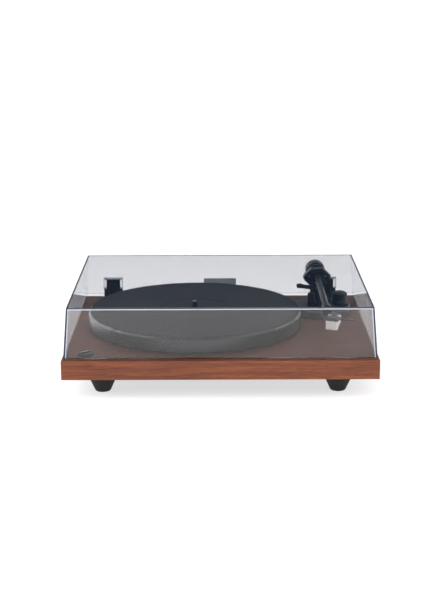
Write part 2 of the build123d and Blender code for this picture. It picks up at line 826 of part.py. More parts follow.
arm_axis = Axis((pivot_x, 0, arm_axis_z), (0, 1, 0))
with BuildPart() as pivot_block:
    with BuildSketch(facing(pivot_x, pivot_y + 6.0, arm_axis_z)):
        RectangleRounded(2 * block_half, block_height, block_corner)
    extrude(amount=12.0)
    with BuildSketch(across(pivot_x - block_half, pivot_y, arm_axis_z)):
        Circle(1.6 + running_gap)
    extrude(amount=2.2, mode=Mode.SUBTRACT)
    with BuildSketch(across(pivot_x + block_half, pivot_y, arm_axis_z)):
        Circle(1.6 + running_gap)
    extrude(amount=-2.2, mode=Mode.SUBTRACT)
pivot_block.part.label = "pivot_block"
export_step(pivot_block.part, "parts/pivot_block.step")

with BuildPart() as arm_tube:
    with BuildSketch(facing(pivot_x, pivot_y - 6.0, arm_axis_z)):
        Circle(tube_radius)
        Circle(tube_radius - 0.9, mode=Mode.SUBTRACT)
    extrude(amount=pivot_y - 6.0 - tube_front_y)
arm_tube.part.label = "arm_tube"
export_step(arm_tube.part, "parts/arm_tube.step")

stub_radius = 5.0
counterweight_rear = counterweight_front + counterweight_length
with BuildPart() as rear_stub:
    with BuildSketch(facing(pivot_x, counterweight_rear - 2.0, arm_axis_z)):
        Circle(stub_radius)
    extrude(amount=counterweight_rear - 2.0 - pivot_y - 6.0)
rear_stub.part.label = "rear_stub"
export_step(rear_stub.part, "parts/rear_stub.step")

with BuildPart() as counterweight:
    with BuildSketch(Plane(origin=(pivot_x, 0, arm_axis_z), x_dir=(1, 0, 0), z_dir=(0, 0, 1))):
        with BuildLine():
            Polyline(
                (stub_radius + running_gap, counterweight_front + 1.0),
                (counterweight_radius - 5.0, counterweight_front + 1.0),
                (counterweight_radius - 4.0, counterweight_front),
                (counterweight_radius - 1.5, counterweight_front),
                (counterweight_radius, counterweight_front + 1.5),
                (counterweight_radius, counterweight_front + 8.0),
                (counterweight_radius - 0.7, counterweight_front + 8.6),
                (counterweight_radius - 0.7, counterweight_front + 10.2),
                (counterweight_radius, counterweight_front + 10.8),
                (counterweight_radius, counterweight_rear - 1.5),
                (counterweight_radius - 1.5, counterweight_rear),
                (stub_radius + running_gap, counterweight_rear),
                close=True,
            )
        make_face()
    revolve(axis=arm_axis)
counterweight.part.label = "counterweight"
export_step(counterweight.part, "parts/counterweight.step")

dial_radius = 12.0
with BuildPart() as force_dial:
    with BuildSketch(facing(pivot_x, counterweight_front - thin_gap, arm_axis_z)):
        Circle(dial_radius)
        Circle(stub_radius + running_gap, mode=Mode.SUBTRACT)
    extrude(amount=5.0)
    front_circles = force_dial.edges().group_by(Axis.Y)[0].filter_by(GeomType.CIRCLE)
    chamfer(front_circles.sort_by(SortBy.RADIUS)[-1], 1.0)
    with BuildSketch(facing(pivot_x, counterweight_front - thin_gap, arm_axis_z)):
        with PolarLocations(dial_radius, 36):
            Circle(0.35)
    extrude(amount=5.0, mode=Mode.SUBTRACT)
force_dial.part.label = "force_dial"
export_step(force_dial.part, "parts/force_dial.step")

# Directions of the angled head: forward along the cartridge and to its right
head_forward = (-sin(radians(headshell_angle)), -cos(radians(headshell_angle)))
head_right = (cos(radians(headshell_angle)), -sin(radians(headshell_angle)))


def head_point(back, right):
    """Point of the angled head, from the middle of the cartridge's front face."""
    return (
        cartridge_front_x - back * head_forward[0] + right * head_right[0],
        cartridge_front_y - back * head_forward[1] + right * head_right[1],
    )


collar_radius = 6.0
screw_points = [head_point(screw_setback, side * screw_pitch / 2) for side in (-1, 1)]
with BuildPart() as headshell:
    with BuildSketch(Plane.XY.offset(headshell_bottom)):
        with BuildLine():
            Polyline(
                head_point(-0.3, -8.6),
                head_point(-0.3, 8.6),
                head_point(15.0, 9.6),
                (161.0, -97.0),
                (156.0, -88.0),
                (151.0, -78.0),
                (136.0, -78.0),
                (134.5, -92.0),
                close=True,
            )
        make_face()
    extrude(amount=headshell_thickness)
    fillet(headshell.edges().filter_by(Axis.Z), 1.2)
    chamfer(headshell.edges().group_by(Axis.Z)[-1], 0.6)
    with BuildSketch(facing(pivot_x, -72.0, arm_axis_z)):
        Circle(collar_radius)
    extrude(amount=18.0)
    with BuildSketch(facing(pivot_x, -72.0, arm_axis_z)):
        Circle(tube_radius)
    extrude(amount=-72.0 - tube_front_y, mode=Mode.SUBTRACT)
    with BuildSketch(Plane.XY.offset(headshell_bottom)):
        with Locations(*screw_points):
            Circle(1.3)
    extrude(amount=headshell_thickness, mode=Mode.SUBTRACT)
headshell.part.label = "headshell"
export_step(headshell.part, "parts/headshell.step")

with BuildPart() as cartridge_screws:
    with BuildSketch(Plane.XY.offset(headshell_bottom - 5.0)):
        with Locations(*screw_points):
            Circle(1.25)
    extrude(amount=headshell_thickness + 5.0)
    with BuildSketch(Plane.XY.offset(headshell_top)):
        with Locations(*screw_points):
            Circle(2.5)
            Rectangle(3.4, 0.7, mode=Mode.SUBTRACT)
    extrude(amount=1.6)
cartridge_screws.part.label = "cartridge_screws"
export_step(cartridge_screws.part, "parts/cartridge_screws.step")

cartridge_plane = Plane(
    origin=(*head_point(0, cartridge_width / 2), 0),
    x_dir=(-head_forward[0], -head_forward[1], 0),
    z_dir=(head_right[0], head_right[1], 0),
)
with BuildPart() as cartridge:
    with BuildSketch(cartridge_plane):
        with BuildLine():
            Polyline(
                (0, cartridge_bottom + 4.0),
                (0, headshell_bottom),
                (cartridge_length, headshell_bottom),
                (cartridge_length, headshell_bottom - 5.0),
                (9.5, cartridge_bottom + 4.0),
                close=True,
            )
        make_face()
    extrude(amount=-cartridge_width)
    with BuildSketch(Plane.XY.offset(headshell_bottom - 5.0)):
        with Locations(*screw_points):
            Circle(1.3)
    extrude(amount=5.0, mode=Mode.SUBTRACT)
    rear_face = Plane(
        origin=(*head_point(cartridge_length, 0), headshell_bottom - 2.4),
        x_dir=(head_right[0], head_right[1], 0),
        z_dir=(-head_forward[0], -head_forward[1], 0),
    )
    with BuildSketch(rear_face):
        with GridLocations(2.6, 2.4, 2, 2):
            Circle(0.55)
    extrude(amount=4.5)
cartridge.part.label = "cartridge"
export_step(cartridge.part, "parts/cartridge.step")

with BuildPart() as stylus_holder:
    with BuildSketch(cartridge_plane):
        with BuildLine():
            Polyline(
                (0, cartridge_bottom),
                (0, cartridge_bottom + 4.0),
                (9.5, cartridge_bottom + 4.0),
                (6.0, cartridge_bottom),
                close=True,
            )
        make_face()
    extrude(amount=-cartridge_width)
    slot_origin = (*head_point(0, 0), cartridge_bottom)
    slot_plane = Plane(
        origin=slot_origin,
        x_dir=(head_right[0], head_right[1], 0),
        z_dir=(head_forward[0], head_forward[1], 0),
    )
    with BuildSketch(slot_plane):
        Rectangle(2.4, 2.4)
    extrude(amount=-cartridge_length, mode=Mode.SUBTRACT)
stylus_holder.part.label = "stylus_holder"
export_step(stylus_holder.part, "parts/stylus_holder.step")

with BuildPart() as stylus:
    with BuildSketch(slot_plane.offset(-7.2)):
        with Locations((0, stylus_tip_z + 1.2 - cartridge_bottom)):
            Rectangle(0.7, 0.6)
    extrude(amount=6.0)
    tip_x, tip_y = head_point(2.0, 0)
    with BuildSketch(Plane.XY.offset(stylus_tip_z)):
        with Locations((tip_x, tip_y)):
            Circle(0.12)
    with BuildSketch(Plane.XY.offset(stylus_tip_z + 1.0)):
        with Locations((tip_x, tip_y)):
            Circle(0.3)
    loft()
stylus.part.label = "stylus"
export_step(stylus.part, "parts/stylus.step")

lift_plane = Plane(
    origin=(*head_point(12.0, 9.5), headshell_bottom + 0.6),
    x_dir=(head_right[0], head_right[1], 0),
    z_dir=(head_forward[0], head_forward[1], 0),
)
with BuildPart() as finger_lift:
    with BuildSketch(lift_plane):
        with BuildLine():
            Polyline(
                (0, 0), (14.0, 0), (20.0, 1.6), (23.5, 4.4), (22.6, 5.2), (19.4, 2.8), (13.8, 1.3),
                (0, 1.3), close=True,
            )
        make_face()
    extrude(amount=3.0)
finger_lift.part.label = "finger_lift"
export_step(finger_lift.part, "parts/finger_lift.step")

# ---- Arm rest, cue lift, lever and anti-skate knob ----

rest_y = 46.0
rest_depth = 8.0
shelf_top = arm_axis_z - tube_radius - thin_gap
clip_z = arm_axis_z + tube_radius + 0.7
clip_x = pivot_x + tube_radius + 2.2
with BuildPart() as arm_rest:
    with BuildSketch(Plane.XY.offset(arm_base_top)):
        with Locations((pivot_x, rest_y)):
            Circle(3.2)
    extrude(amount=shelf_top - 3.0 - arm_base_top)
    with BuildSketch(Plane.XY.offset(shelf_top - 3.0)):
        with Locations(((pivot_x - 5.5 + clip_x + 1.6) / 2, rest_y)):
            Rectangle(clip_x + 1.6 - pivot_x + 5.5, rest_depth)
    extrude(amount=3.0)
    with BuildSketch(Plane.XY.offset(shelf_top - 3.0)):
        with Locations((clip_x, rest_y)):
            Rectangle(3.2, rest_depth)
    extrude(amount=clip_z - shelf_top + 3.0)
    with BuildSketch(Plane.XY.offset(clip_z)):
        with Locations((clip_x, rest_y)):
            Circle(0.8)
    extrude(amount=2.4)
arm_rest.part.label = "arm_rest"
export_step(arm_rest.part, "parts/arm_rest.step")

clip_length = 13.5
with BuildPart() as arm_clip:
    with BuildSketch(Plane.XY.offset(clip_z)):
        with Locations((clip_x, rest_y - clip_length / 2)):
            SlotOverall(clip_length + 3.4, 3.4, rotation=90)
        with Locations((clip_x, rest_y)):
            Circle(0.8 + running_gap, mode=Mode.SUBTRACT)
    extrude(amount=1.8)
    with BuildSketch(Plane.XY.offset(clip_z + 1.8)):
        with Locations((clip_x, rest_y - clip_length)):
            Circle(1.4)
    extrude(amount=1.6)
arm_clip.part.label = "arm_clip"
export_step(arm_clip.part, "parts/arm_clip.step")

cylinder_x = 133.0
cylinder_y = 62.0
cylinder_radius = 5.5
piston_radius = 1.8
lever_y = 58.0
lever_z = 73.0
bracket_x = 153.0
bracket_width = 4.0
with BuildPart() as lift_housing:
    with BuildSketch(Plane.XY.offset(arm_base_top)):
        with Locations(((cylinder_x + bracket_x) / 2, cylinder_y - 1.0)):
            RectangleRounded(bracket_x - cylinder_x + 12.0, 11.0, 2.0)
    extrude(amount=2.4)
    with BuildSketch(Plane.XY.offset(arm_base_top)):
        with Locations((cylinder_x, cylinder_y)):
            Circle(cylinder_radius)
    extrude(amount=19.0)
    chamfer(lift_housing.edges().group_by(Axis.Z)[-1], 0.8)
    with BuildSketch(Plane.XY.offset(arm_base_top)):
        with Locations((bracket_x + bracket_width / 2, lever_y)):
            Rectangle(bracket_width, 7.0)
    extrude(amount=lever_z + 3.5 - arm_base_top)
    with BuildSketch(across(bracket_x + bracket_width, lever_y, lever_z)):
        Circle(1.5)
    extrude(amount=4.8)
    with BuildSketch(Plane.XY.offset(arm_base_top + 2.0)):
        with Locations((cylinder_x, cylinder_y)):
            Circle(piston_radius + running_gap)
    extrude(amount=20.0, mode=Mode.SUBTRACT)
lift_housing.part.label = "lift_housing"
export_step(lift_housing.part, "parts/lift_housing.step")

bar_top = shelf_top
bar_height = 5.0
bar_half_width = 2.5
bar_start = -133.0
bar_sweep = 49.0
bar_end_radius = 4.4
with BuildPart() as lift_bar:
    with BuildSketch(Plane.XY.offset(bar_top - bar_height)):
        with BuildLine():
            outer_arc = CenterArc(
                (pivot_x, pivot_y), lift_radius + bar_half_width, bar_start, bar_sweep
            )
            inner_arc = CenterArc(
                (pivot_x, pivot_y), lift_radius - bar_half_width, bar_start, bar_sweep
            )
            Line(outer_arc @ 0, inner_arc @ 0)
            Line(outer_arc @ 1, inner_arc @ 1)
        make_face()
    extrude(amount=bar_height)
    fillet(lift_bar.edges().filter_by(Axis.Z), 2.0)
    end_x = pivot_x + lift_radius * cos(radians(bar_start))
    end_y = pivot_y + lift_radius * sin(radians(bar_start))
    with BuildSketch(Plane.XY.offset(bar_top - bar_height)):
        with Locations((end_x, end_y)):
            Circle(bar_end_radius)
    extrude(amount=bar_height)
    with BuildSketch(Plane.XY.offset(arm_base_top + 5.0)):
        with Locations((cylinder_x, cylinder_y)):
            Circle(piston_radius)
    extrude(amount=bar_top - bar_height - arm_base_top - 5.0)
lift_bar.part.label = "lift_bar"
export_step(lift_bar.part, "parts/lift_bar.step")

lever_x = bracket_x + bracket_width + 0.3
lever_tip_y = 27.0
with BuildPart() as cue_lever:
    with BuildSketch(across(lever_x, lever_y, lever_z)):
        Circle(3.0)
    extrude(amount=4.0)
    with BuildSketch(facing(lever_x + 2.0, lever_y - 1.0, lever_z)):
        Circle(1.2)
    extrude(amount=lever_y - 1.0 - lever_tip_y)
    with BuildSketch(facing(lever_x + 2.0, lever_tip_y + 5.0, lever_z)):
        Circle(2.1)
    extrude(amount=8.0)
    fillet(cue_lever.edges().group_by(Axis.Y)[0], 1.0)
    with BuildSketch(across(lever_x, lever_y, lever_z)):
        Circle(1.5 + running_gap)
    extrude(amount=4.0, mode=Mode.SUBTRACT)
cue_lever.part.label = "cue_lever"
export_step(cue_lever.part, "parts/cue_lever.step")

dial_bottom = arm_base_top + thin_gap
dial_top = arm_base_top + knob_dial_height
with BuildPart() as antiskate_knob:
    with BuildSketch(upright(knob_dial_x, knob_dial_y)):
        with BuildLine():
            Polyline(
                (0, plinth_top + 2.0),
                (2.5, plinth_top + 2.0),
                (2.5, dial_bottom),
                (knob_dial_radius, dial_bottom),
                (knob_dial_radius, dial_bottom + 5.0),
                (knob_dial_radius - 0.7, dial_bottom + 5.8),
                (knob_dial_radius - 0.7, dial_top - 3.0),
            )
            ThreePointArc(
                (knob_dial_radius - 0.7, dial_top - 3.0),
                (knob_dial_radius - 3.8, dial_top - 0.9),
                (2.0, dial_top),
            )
            Line((2.0, dial_top), (0, dial_top))
            Line((0, dial_top), (0, plinth_top + 2.0))
        make_face()
    revolve(axis=Axis((knob_dial_x, knob_dial_y, 0), (0, 0, 1)))
antiskate_knob.part.label = "antiskate_knob"
export_step(antiskate_knob.part, "parts/antiskate_knob.step")

# ---- Dust cover and its hinges ----

lid_middle_y = (lid_front + lid_rear) / 2
lid_depth = lid_rear - lid_front
lid_height = lid_top - lid_bottom
draft_slope = lid_draft / lid_height
inner_height = lid_height - lid_wall
pocket_half = 14.2
pocket_front = 153.2
pocket_back = 163.4
pocket_bottom = 68.2
pocket_top = 84.0
pocket_wall = 2.0
notch_half = 15.4
notch_top = 70.5
rear_gap_top = 58.0
hinge_sides = (-1, 1)
with BuildPart() as lid:
    with BuildSketch(Plane.XY.offset(lid_bottom)):
        with Locations((0, lid_middle_y)):
            RectangleRounded(lid_width, lid_depth, 2.5)
    with BuildSketch(Plane.XY.offset(lid_top)):
        with Locations((0, lid_middle_y)):
            RectangleRounded(lid_width - 2 * lid_draft, lid_depth - 2 * lid_draft, 2.5)
    loft()
    chamfer(lid.edges().group_by(Axis.Z)[-1], 0.5)
    with BuildSketch(Plane.XY.offset(lid_bottom)):
        with Locations((0, lid_middle_y)):
            Rectangle(lid_width - 2 * lid_wall, lid_depth - 2 * lid_wall)
    with BuildSketch(Plane.XY.offset(lid_bottom + inner_height)):
        inner_taper = 2 * (lid_wall + draft_slope * inner_height)
        with Locations((0, lid_middle_y)):
            Rectangle(lid_width - inner_taper, lid_depth - inner_taper)
    loft(mode=Mode.SUBTRACT)
    with BuildSketch(Plane.XY.offset(pocket_bottom)):
        for side in hinge_sides:
            with Locations((side * hinge_x, (pocket_front + pocket_back) / 2)):
                Rectangle(2 * pocket_half, pocket_back - pocket_front)
    extrude(amount=pocket_top - pocket_bottom)
    with BuildSketch(Plane.XY.offset(pocket_bottom)):
        for side in hinge_sides:
            with Locations((side * hinge_x, (pocket_front + pocket_wall + 160.6) / 2)):
                Rectangle(2 * (pocket_half - pocket_wall), 160.6 - pocket_front - pocket_wall)
    extrude(amount=pocket_top - pocket_wall - pocket_bottom, mode=Mode.SUBTRACT)
    with BuildSketch(Plane.XY.offset(lid_bottom)):
        with Locations((0, hinge_y + 3.0 + 5.0)):
            Rectangle(lid_width + 2.0, 10.0)
    extrude(amount=rear_gap_top - lid_bottom, mode=Mode.SUBTRACT)
    with BuildSketch(Plane.XY.offset(lid_bottom)):
        for side in hinge_sides:
            with Locations((side * hinge_x, pocket_back + 5.0)):
                Rectangle(2 * notch_half, 10.0)
            with Locations((side * hinge_x, pocket_back)):
                Rectangle(2 * notch_half, 5.0)
    extrude(amount=pocket_bottom - lid_bottom, mode=Mode.SUBTRACT)
lid.part.label = "lid"
export_step(lid.part, "parts/lid.step")

base_plate_top = plinth_top + 3.0
ear_inner = 6.3
ear_outer = 14.0
with BuildPart() as hinge_bases:
    for side in hinge_sides:
        with BuildSketch(Plane.XY.offset(plinth_top)):
            with Locations((side * hinge_x, 155.5)):
                Rectangle(hinge_width, 20.0)
        extrude(amount=base_plate_top - plinth_top)
        for ear_start in (-ear_outer, ear_inner):
            with BuildSketch(across(side * hinge_x + ear_start, hinge_y, hinge_z)):
                Circle(hinge_knuckle)
                with Locations((0, (plinth_top - hinge_z) / 2)):
                    Rectangle(2 * hinge_knuckle, hinge_z - plinth_top)
                Circle(hinge_pin_radius, mode=Mode.SUBTRACT)
            extrude(amount=ear_outer - ear_inner)
hinge_bases.part.label = "hinge_bases"
export_step(hinge_bases.part, "parts/hinge_bases.step")

with BuildPart() as hinge_pins:
    for side in hinge_sides:
        with BuildSketch(across(side * hinge_x - ear_outer, hinge_y, hinge_z)):
            Circle(hinge_pin_radius)
        extrude(amount=2 * ear_outer)
hinge_pins.part.label = "hinge_pins"
export_step(hinge_pins.part, "parts/hinge_pins.step")

blade_front = 155.6
blade_back = 159.8
blade_top = 81.4
bar_pitch = 7.6
with BuildPart() as hinge_blades:
    for side in hinge_sides:
        with BuildSketch(across(side * hinge_x - ear_inner + 0.3, hinge_y, hinge_z)):
            Circle(hinge_knuckle - 0.5)
            with BuildLine():
                Polyline(
                    (blade_front - hinge_y, 0),
                    (blade_front - hinge_y, blade_top - hinge_z),
                    (blade_back - hinge_y, blade_top - hinge_z),
                    (blade_back - hinge_y, 0),
                    close=True,
                )
            make_face()
            Circle(hinge_pin_radius + running_gap, mode=Mode.SUBTRACT)
        extrude(amount=2 * (ear_inner - 0.3))
        with BuildSketch(Plane.XY.offset(pocket_bottom)):
            with Locations((side * hinge_x, (blade_front + blade_back) / 2)):
                with GridLocations(bar_pitch, 1.0, 3, 1):
                    Rectangle(5.2, blade_back - blade_front)
                Rectangle(2 * bar_pitch, 1.8)
        extrude(amount=blade_top - pocket_bottom)
hinge_blades.part.label = "hinge_blades"
export_step(hinge_blades.part, "parts/hinge_blades.step")

bumper_gap = 0.05
with BuildPart() as lid_bumpers:
    with BuildSketch(Plane.XY.offset(plinth_top + bumper_gap)):
        with Locations((0, lid_front + 30.0), (0, 120.0)):
            with GridLocations(lid_width - lid_wall, 1.0, 2, 1):
                Rectangle(2.4, 12.0)
    extrude(amount=lid_bottom - plinth_top - bumper_gap)
lid_bumpers.part.label = "lid_bumpers"
export_step(lid_bumpers.part, "parts/lid_bumpers.step")

plate_z = 77.2
plate_length = 49.0
plate_height = 10.4
inner_rear = lid_rear - lid_wall - draft_slope * (plate_z - lid_bottom)
lean = sqrt(1 + draft_slope**2)
plate_plane = Plane(
    origin=(0, inner_rear, plate_z), x_dir=(1, 0, 0), z_dir=(0, -1 / lean, -draft_slope / lean)
)
with BuildPart() as nameplate:
    with BuildSketch(plate_plane):
        RectangleRounded(plate_length, plate_height, 1.2)
    extrude(amount=0.8)
    chamfer(nameplate.edges().group_by(Axis.Y)[0], 0.3)
nameplate.part.label = "nameplate"
export_step(nameplate.part, "parts/nameplate.step")
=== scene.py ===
import math

import bmesh
import bpy
from mathutils import Matrix, Vector


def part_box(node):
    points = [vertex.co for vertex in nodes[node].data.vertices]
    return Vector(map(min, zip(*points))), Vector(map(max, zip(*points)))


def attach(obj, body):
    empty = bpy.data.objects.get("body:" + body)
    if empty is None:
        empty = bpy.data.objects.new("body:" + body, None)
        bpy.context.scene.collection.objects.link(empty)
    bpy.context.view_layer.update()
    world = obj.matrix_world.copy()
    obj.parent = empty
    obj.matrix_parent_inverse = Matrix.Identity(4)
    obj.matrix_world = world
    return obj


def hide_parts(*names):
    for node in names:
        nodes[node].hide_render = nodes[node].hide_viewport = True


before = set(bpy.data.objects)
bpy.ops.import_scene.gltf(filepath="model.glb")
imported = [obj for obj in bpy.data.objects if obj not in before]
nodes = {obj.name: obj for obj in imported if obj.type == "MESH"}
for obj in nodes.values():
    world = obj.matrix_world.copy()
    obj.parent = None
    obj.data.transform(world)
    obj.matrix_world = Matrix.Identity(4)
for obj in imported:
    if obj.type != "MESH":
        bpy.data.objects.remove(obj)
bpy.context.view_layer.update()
mm = 0.001


def toLinear(hexColour, alpha=1.0):
    parts = [int(hexColour[i:i + 2], 16) / 255 for i in (1, 3, 5)]
    linear = [c / 12.92 if c <= 0.04045 else ((c + 0.055) / 1.055) ** 2.4 for c in parts]
    return (*linear, alpha)


def addNode(tree, kind, settings=None, links=None):
    # a key that is a property goes on the node, stops on its colour ramp, any other on its socket
    node = tree.nodes.new(kind)
    for key, value in (settings or {}).items():
        if key == "stops":
            elements = node.color_ramp.elements
            while len(elements) < len(value):
                elements.new(0.5)
            for element, (position, colour) in zip(elements, value):
                element.position = position
                element.color = colour
        elif isinstance(key, str) and hasattr(node, key):
            setattr(node, key, value)
        else:
            node.inputs[key].default_value = value
    for key, source in (links or {}).items():
        tree.links.new(source, node.inputs[key])
    return node


def newMaterial(name, settings):
    # a fresh material with one Principled shader, its constant values set on its own sockets
    material = bpy.data.materials.new(name)
    material.use_nodes = True
    tree = material.node_tree
    shader = tree.nodes["Principled BSDF"]
    for key, value in settings.items():
        shader.inputs[key].default_value = value
    return material, tree, shader


# what every moulded, cast or painted skin shares
skin = {
    "grainDetail": 3.0,
    "cloudScale": 22.0,       # slow change of tone, one cloud in about 45 mm
    "cloudDetail": 4.0,
    "cloudSpan": (0.3, 0.7),
    "glossSpan": (0.85, 1.18),    # how far the gloss wanders about its roughness
    "bumpDeep": 0.12 * mm,
}


def grained(name, finish):
    # two close tones, a fine grain in the height and uneven gloss
    roughness = finish["roughness"]
    material, tree, shader = newMaterial(name, {
        "Metallic": finish.get("metallic", 0.0), "Roughness": roughness})
    spot = addNode(tree, "ShaderNodeTexCoord").outputs["Object"]
    fine = addNode(tree, "ShaderNodeTexNoise", {
        "Scale": 1 / (finish["grainMm"] * mm), "Detail": skin["grainDetail"]}, {"Vector": spot})
    cloud = addNode(tree, "ShaderNodeTexNoise", {
        "Scale": skin["cloudScale"], "Detail": skin["cloudDetail"]}, {"Vector": spot})
    stops = [(at, toLinear(colour)) for at, colour in zip(skin["cloudSpan"], finish["colours"])]
    tone = addNode(tree, "ShaderNodeValToRGB", {"stops": stops}, {"Fac": cloud.outputs["Fac"]})
    tree.links.new(tone.outputs["Color"], shader.inputs["Base Color"])
    gloss = addNode(tree, "ShaderNodeMapRange", {
        "To Min": roughness * skin["glossSpan"][0],
        "To Max": min(1.0, roughness * skin["glossSpan"][1])}, {"Value": fine.outputs["Fac"]})
    tree.links.new(gloss.outputs[0], shader.inputs["Roughness"])
    bump = addNode(tree, "ShaderNodeBump", {
        "Strength": finish["relief"], "Distance": skin["bumpDeep"]}, {"Height": fine.outputs["Fac"]})
    tree.links.new(bump.outputs["Normal"], shader.inputs["Normal"])
    return material


def dress(material, *names):
    # gives the named CAD nodes one material
    for name in names:
        slots = nodes[name].data.materials
        slots.clear()
        slots.append(material)
        for face in nodes[name].data.polygons:
            face.material_index = 0


def place(name, mesh, material, body, smooth=True):
    # puts a finished mesh in the scene as a piece that rides on a body
    piece = bpy.data.objects.new(name, mesh)
    bpy.context.scene.collection.objects.link(piece)
    mesh.materials.append(material)
    if smooth:
        for face in mesh.polygons:
            face.use_smooth = True
    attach(piece, body)
    return piece


def closeMesh(bm, mesh):
    # turns the faces outward and hands the shape over to the mesh
    bmesh.ops.recalc_face_normals(bm, faces=bm.faces)
    bm.to_mesh(mesh)
    bm.free()
    return mesh


def joinRings(bm, first, second):
    # quads between two rings with as many points each
    for index in range(len(first)):
        after = (index + 1) % len(first)
        bm.faces.new((first[index], first[after], second[after], second[index]))


def lathe(name, profile, centre, steps):
    # turns an outline of (radius, height) points about an upright axis, closed on itself
    bm = bmesh.new()
    rings = []
    for radius, height in profile:
        ring = []
        for step in range(steps):
            turn = 2 * math.pi * step / steps
            x = centre[0] + radius * math.cos(turn)
            y = centre[1] + radius * math.sin(turn)
            ring.append(bm.verts.new((x, y, height)))
        rings.append(ring)
    for low, high in zip(rings, rings[1:] + rings[:1]):
        joinRings(bm, low, high)
    return closeMesh(bm, bpy.data.meshes.new(name))


def middleOf(node):
    low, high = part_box(node)
    return (low + high) / 2


print("stage: helpers ready")

# walnut veneer, sliced and satin lacquered: dark streaks along the board in a warm red brown
walnut = {
    "dark": "#5A3327",
    "mid": "#7A432C",
    "light": "#945634",
    "toneSpan": (0.34, 0.5, 0.66),
    "topPaintedShade": "#BEC6CC",    # painted shade: the top face is multiplied darker and cooler than the sides
    "faceTurn": 0.8,          # a face that looks this much along an axis counts as facing it
    "roughness": 0.5,
    "specular": 0.28,
    "ior": 1.5,
    "streakMm": 3.6,
    "streakRough": 0.62,
    "streakWander": 0.6,
    "broadScale": 26.0,       # slow figure, one swell in about 38 mm
    "broadWander": 0.8,
    "broadShare": 0.42,
    "poreMm": 0.7,            # coarser than the real 0.2 mm pores, so that they show
    "poreSpan": (0.32, 0.5),
    "poreDark": 0.62,
    "poreRelief": 0.25,
    "poreDeep": 0.15 * mm,
    "stretch": 26.0,          # how much longer than wide the grain runs
    "endShift": 0.3,
}


def makeWalnut():
    material, tree, shader = newMaterial("walnutVeneerSatin", {
        "Roughness": walnut["roughness"], "Specular IOR Level": walnut["specular"], "IOR": walnut["ior"]})
    spot = addNode(tree, "ShaderNodeTexCoord").outputs["Object"]
    normal = addNode(tree, "ShaderNodeNewGeometry").outputs["True Normal"]
    faceWay = addNode(tree, "ShaderNodeSeparateXYZ", None, {"Vector": normal})
    # the grain runs along the board, and along the ends of the plinth on its two sides
    sideways = addNode(tree, "ShaderNodeMath", {"operation": "ABSOLUTE"}, {0: faceWay.outputs["X"]})
    isEnd = addNode(tree, "ShaderNodeMath", {
        "operation": "GREATER_THAN", 1: walnut["faceTurn"]}, {0: sideways.outputs[0]})
    along = 1 / walnut["stretch"]
    longBoard = addNode(tree, "ShaderNodeMapping", {"Scale": (along, 1, 1)}, {"Vector": spot})
    endBoard = addNode(tree, "ShaderNodeMapping", {
        "Scale": (1, along, 1), "Location": (walnut["endShift"], 0, 0)}, {"Vector": spot})
    grainPoint = addNode(tree, "ShaderNodeMix", {"data_type": "VECTOR"}, {
        0: isEnd.outputs[0], 4: longBoard.outputs[0], 5: endBoard.outputs[0]})
    vector = grainPoint.outputs[1]
    streak = addNode(tree, "ShaderNodeTexNoise", {
        "Scale": 1 / (walnut["streakMm"] * mm), "Detail": 6.0,
        "Roughness": walnut["streakRough"], "Distortion": walnut["streakWander"]}, {"Vector": vector})
    broad = addNode(tree, "ShaderNodeTexNoise", {
        "Scale": walnut["broadScale"], "Detail": 3.0, "Distortion": walnut["broadWander"]}, {"Vector": vector})
    both = addNode(tree, "ShaderNodeMix", {"data_type": "FLOAT", 0: walnut["broadShare"]}, {
        2: streak.outputs["Fac"], 3: broad.outputs["Fac"]})
    colours = [toLinear(walnut[name]) for name in ("dark", "mid", "light")]
    tone = addNode(tree, "ShaderNodeValToRGB", {
        "stops": list(zip(walnut["toneSpan"], colours))}, {"Fac": both.outputs[0]})
    # open pores, darker and lower than the wood about them
    pore = addNode(tree, "ShaderNodeTexNoise", {
        "Scale": 1 / (walnut["poreMm"] * mm), "Detail": 2.0}, {"Vector": vector})
    poreLine = addNode(tree, "ShaderNodeMapRange", {
        "From Min": walnut["poreSpan"][0], "From Max": walnut["poreSpan"][1],
        "To Min": walnut["poreDark"], "To Max": 1.0}, {"Value": pore.outputs["Fac"]})
    darker = addNode(tree, "ShaderNodeMix", {
        "data_type": "RGBA", "blend_type": "MULTIPLY", 0: 1.0}, {
        6: tone.outputs["Color"], 7: poreLine.outputs[0]})
    # painted shade: faces looking up get the darker, cooler top tint
    isTop = addNode(tree, "ShaderNodeMath", {
        "operation": "GREATER_THAN", 1: walnut["faceTurn"]}, {0: faceWay.outputs["Z"]})
    shaded = addNode(tree, "ShaderNodeMix", {
        "data_type": "RGBA", "blend_type": "MULTIPLY", 7: toLinear(walnut["topPaintedShade"])}, {
        0: isTop.outputs[0], 6: darker.outputs[2]})
    tree.links.new(shaded.outputs[2], shader.inputs["Base Color"])
    bump = addNode(tree, "ShaderNodeBump", {
        "Strength": walnut["poreRelief"], "Distance": walnut["poreDeep"]}, {"Height": pore.outputs["Fac"]})
    tree.links.new(bump.outputs["Normal"], shader.inputs["Normal"])
    return material


dress(makeWalnut(), "plinth")
print("stage: plinth dressed in walnut")

# cast aluminium, turned and satin painted: dark grey, its bevel catching the light where it turns away
platterLook = {
    "colours": ("#242427", "#29292C"),
    "toneSpan": (0.3, 0.7),
    "roughness": 0.24,
    "ior": 1.5,
    "ringMm": 3.0,            # tool marks, drawn coarser than they are so that they show
    "relief": 0.05,
    "reliefDeep": 0.05 * mm,
}


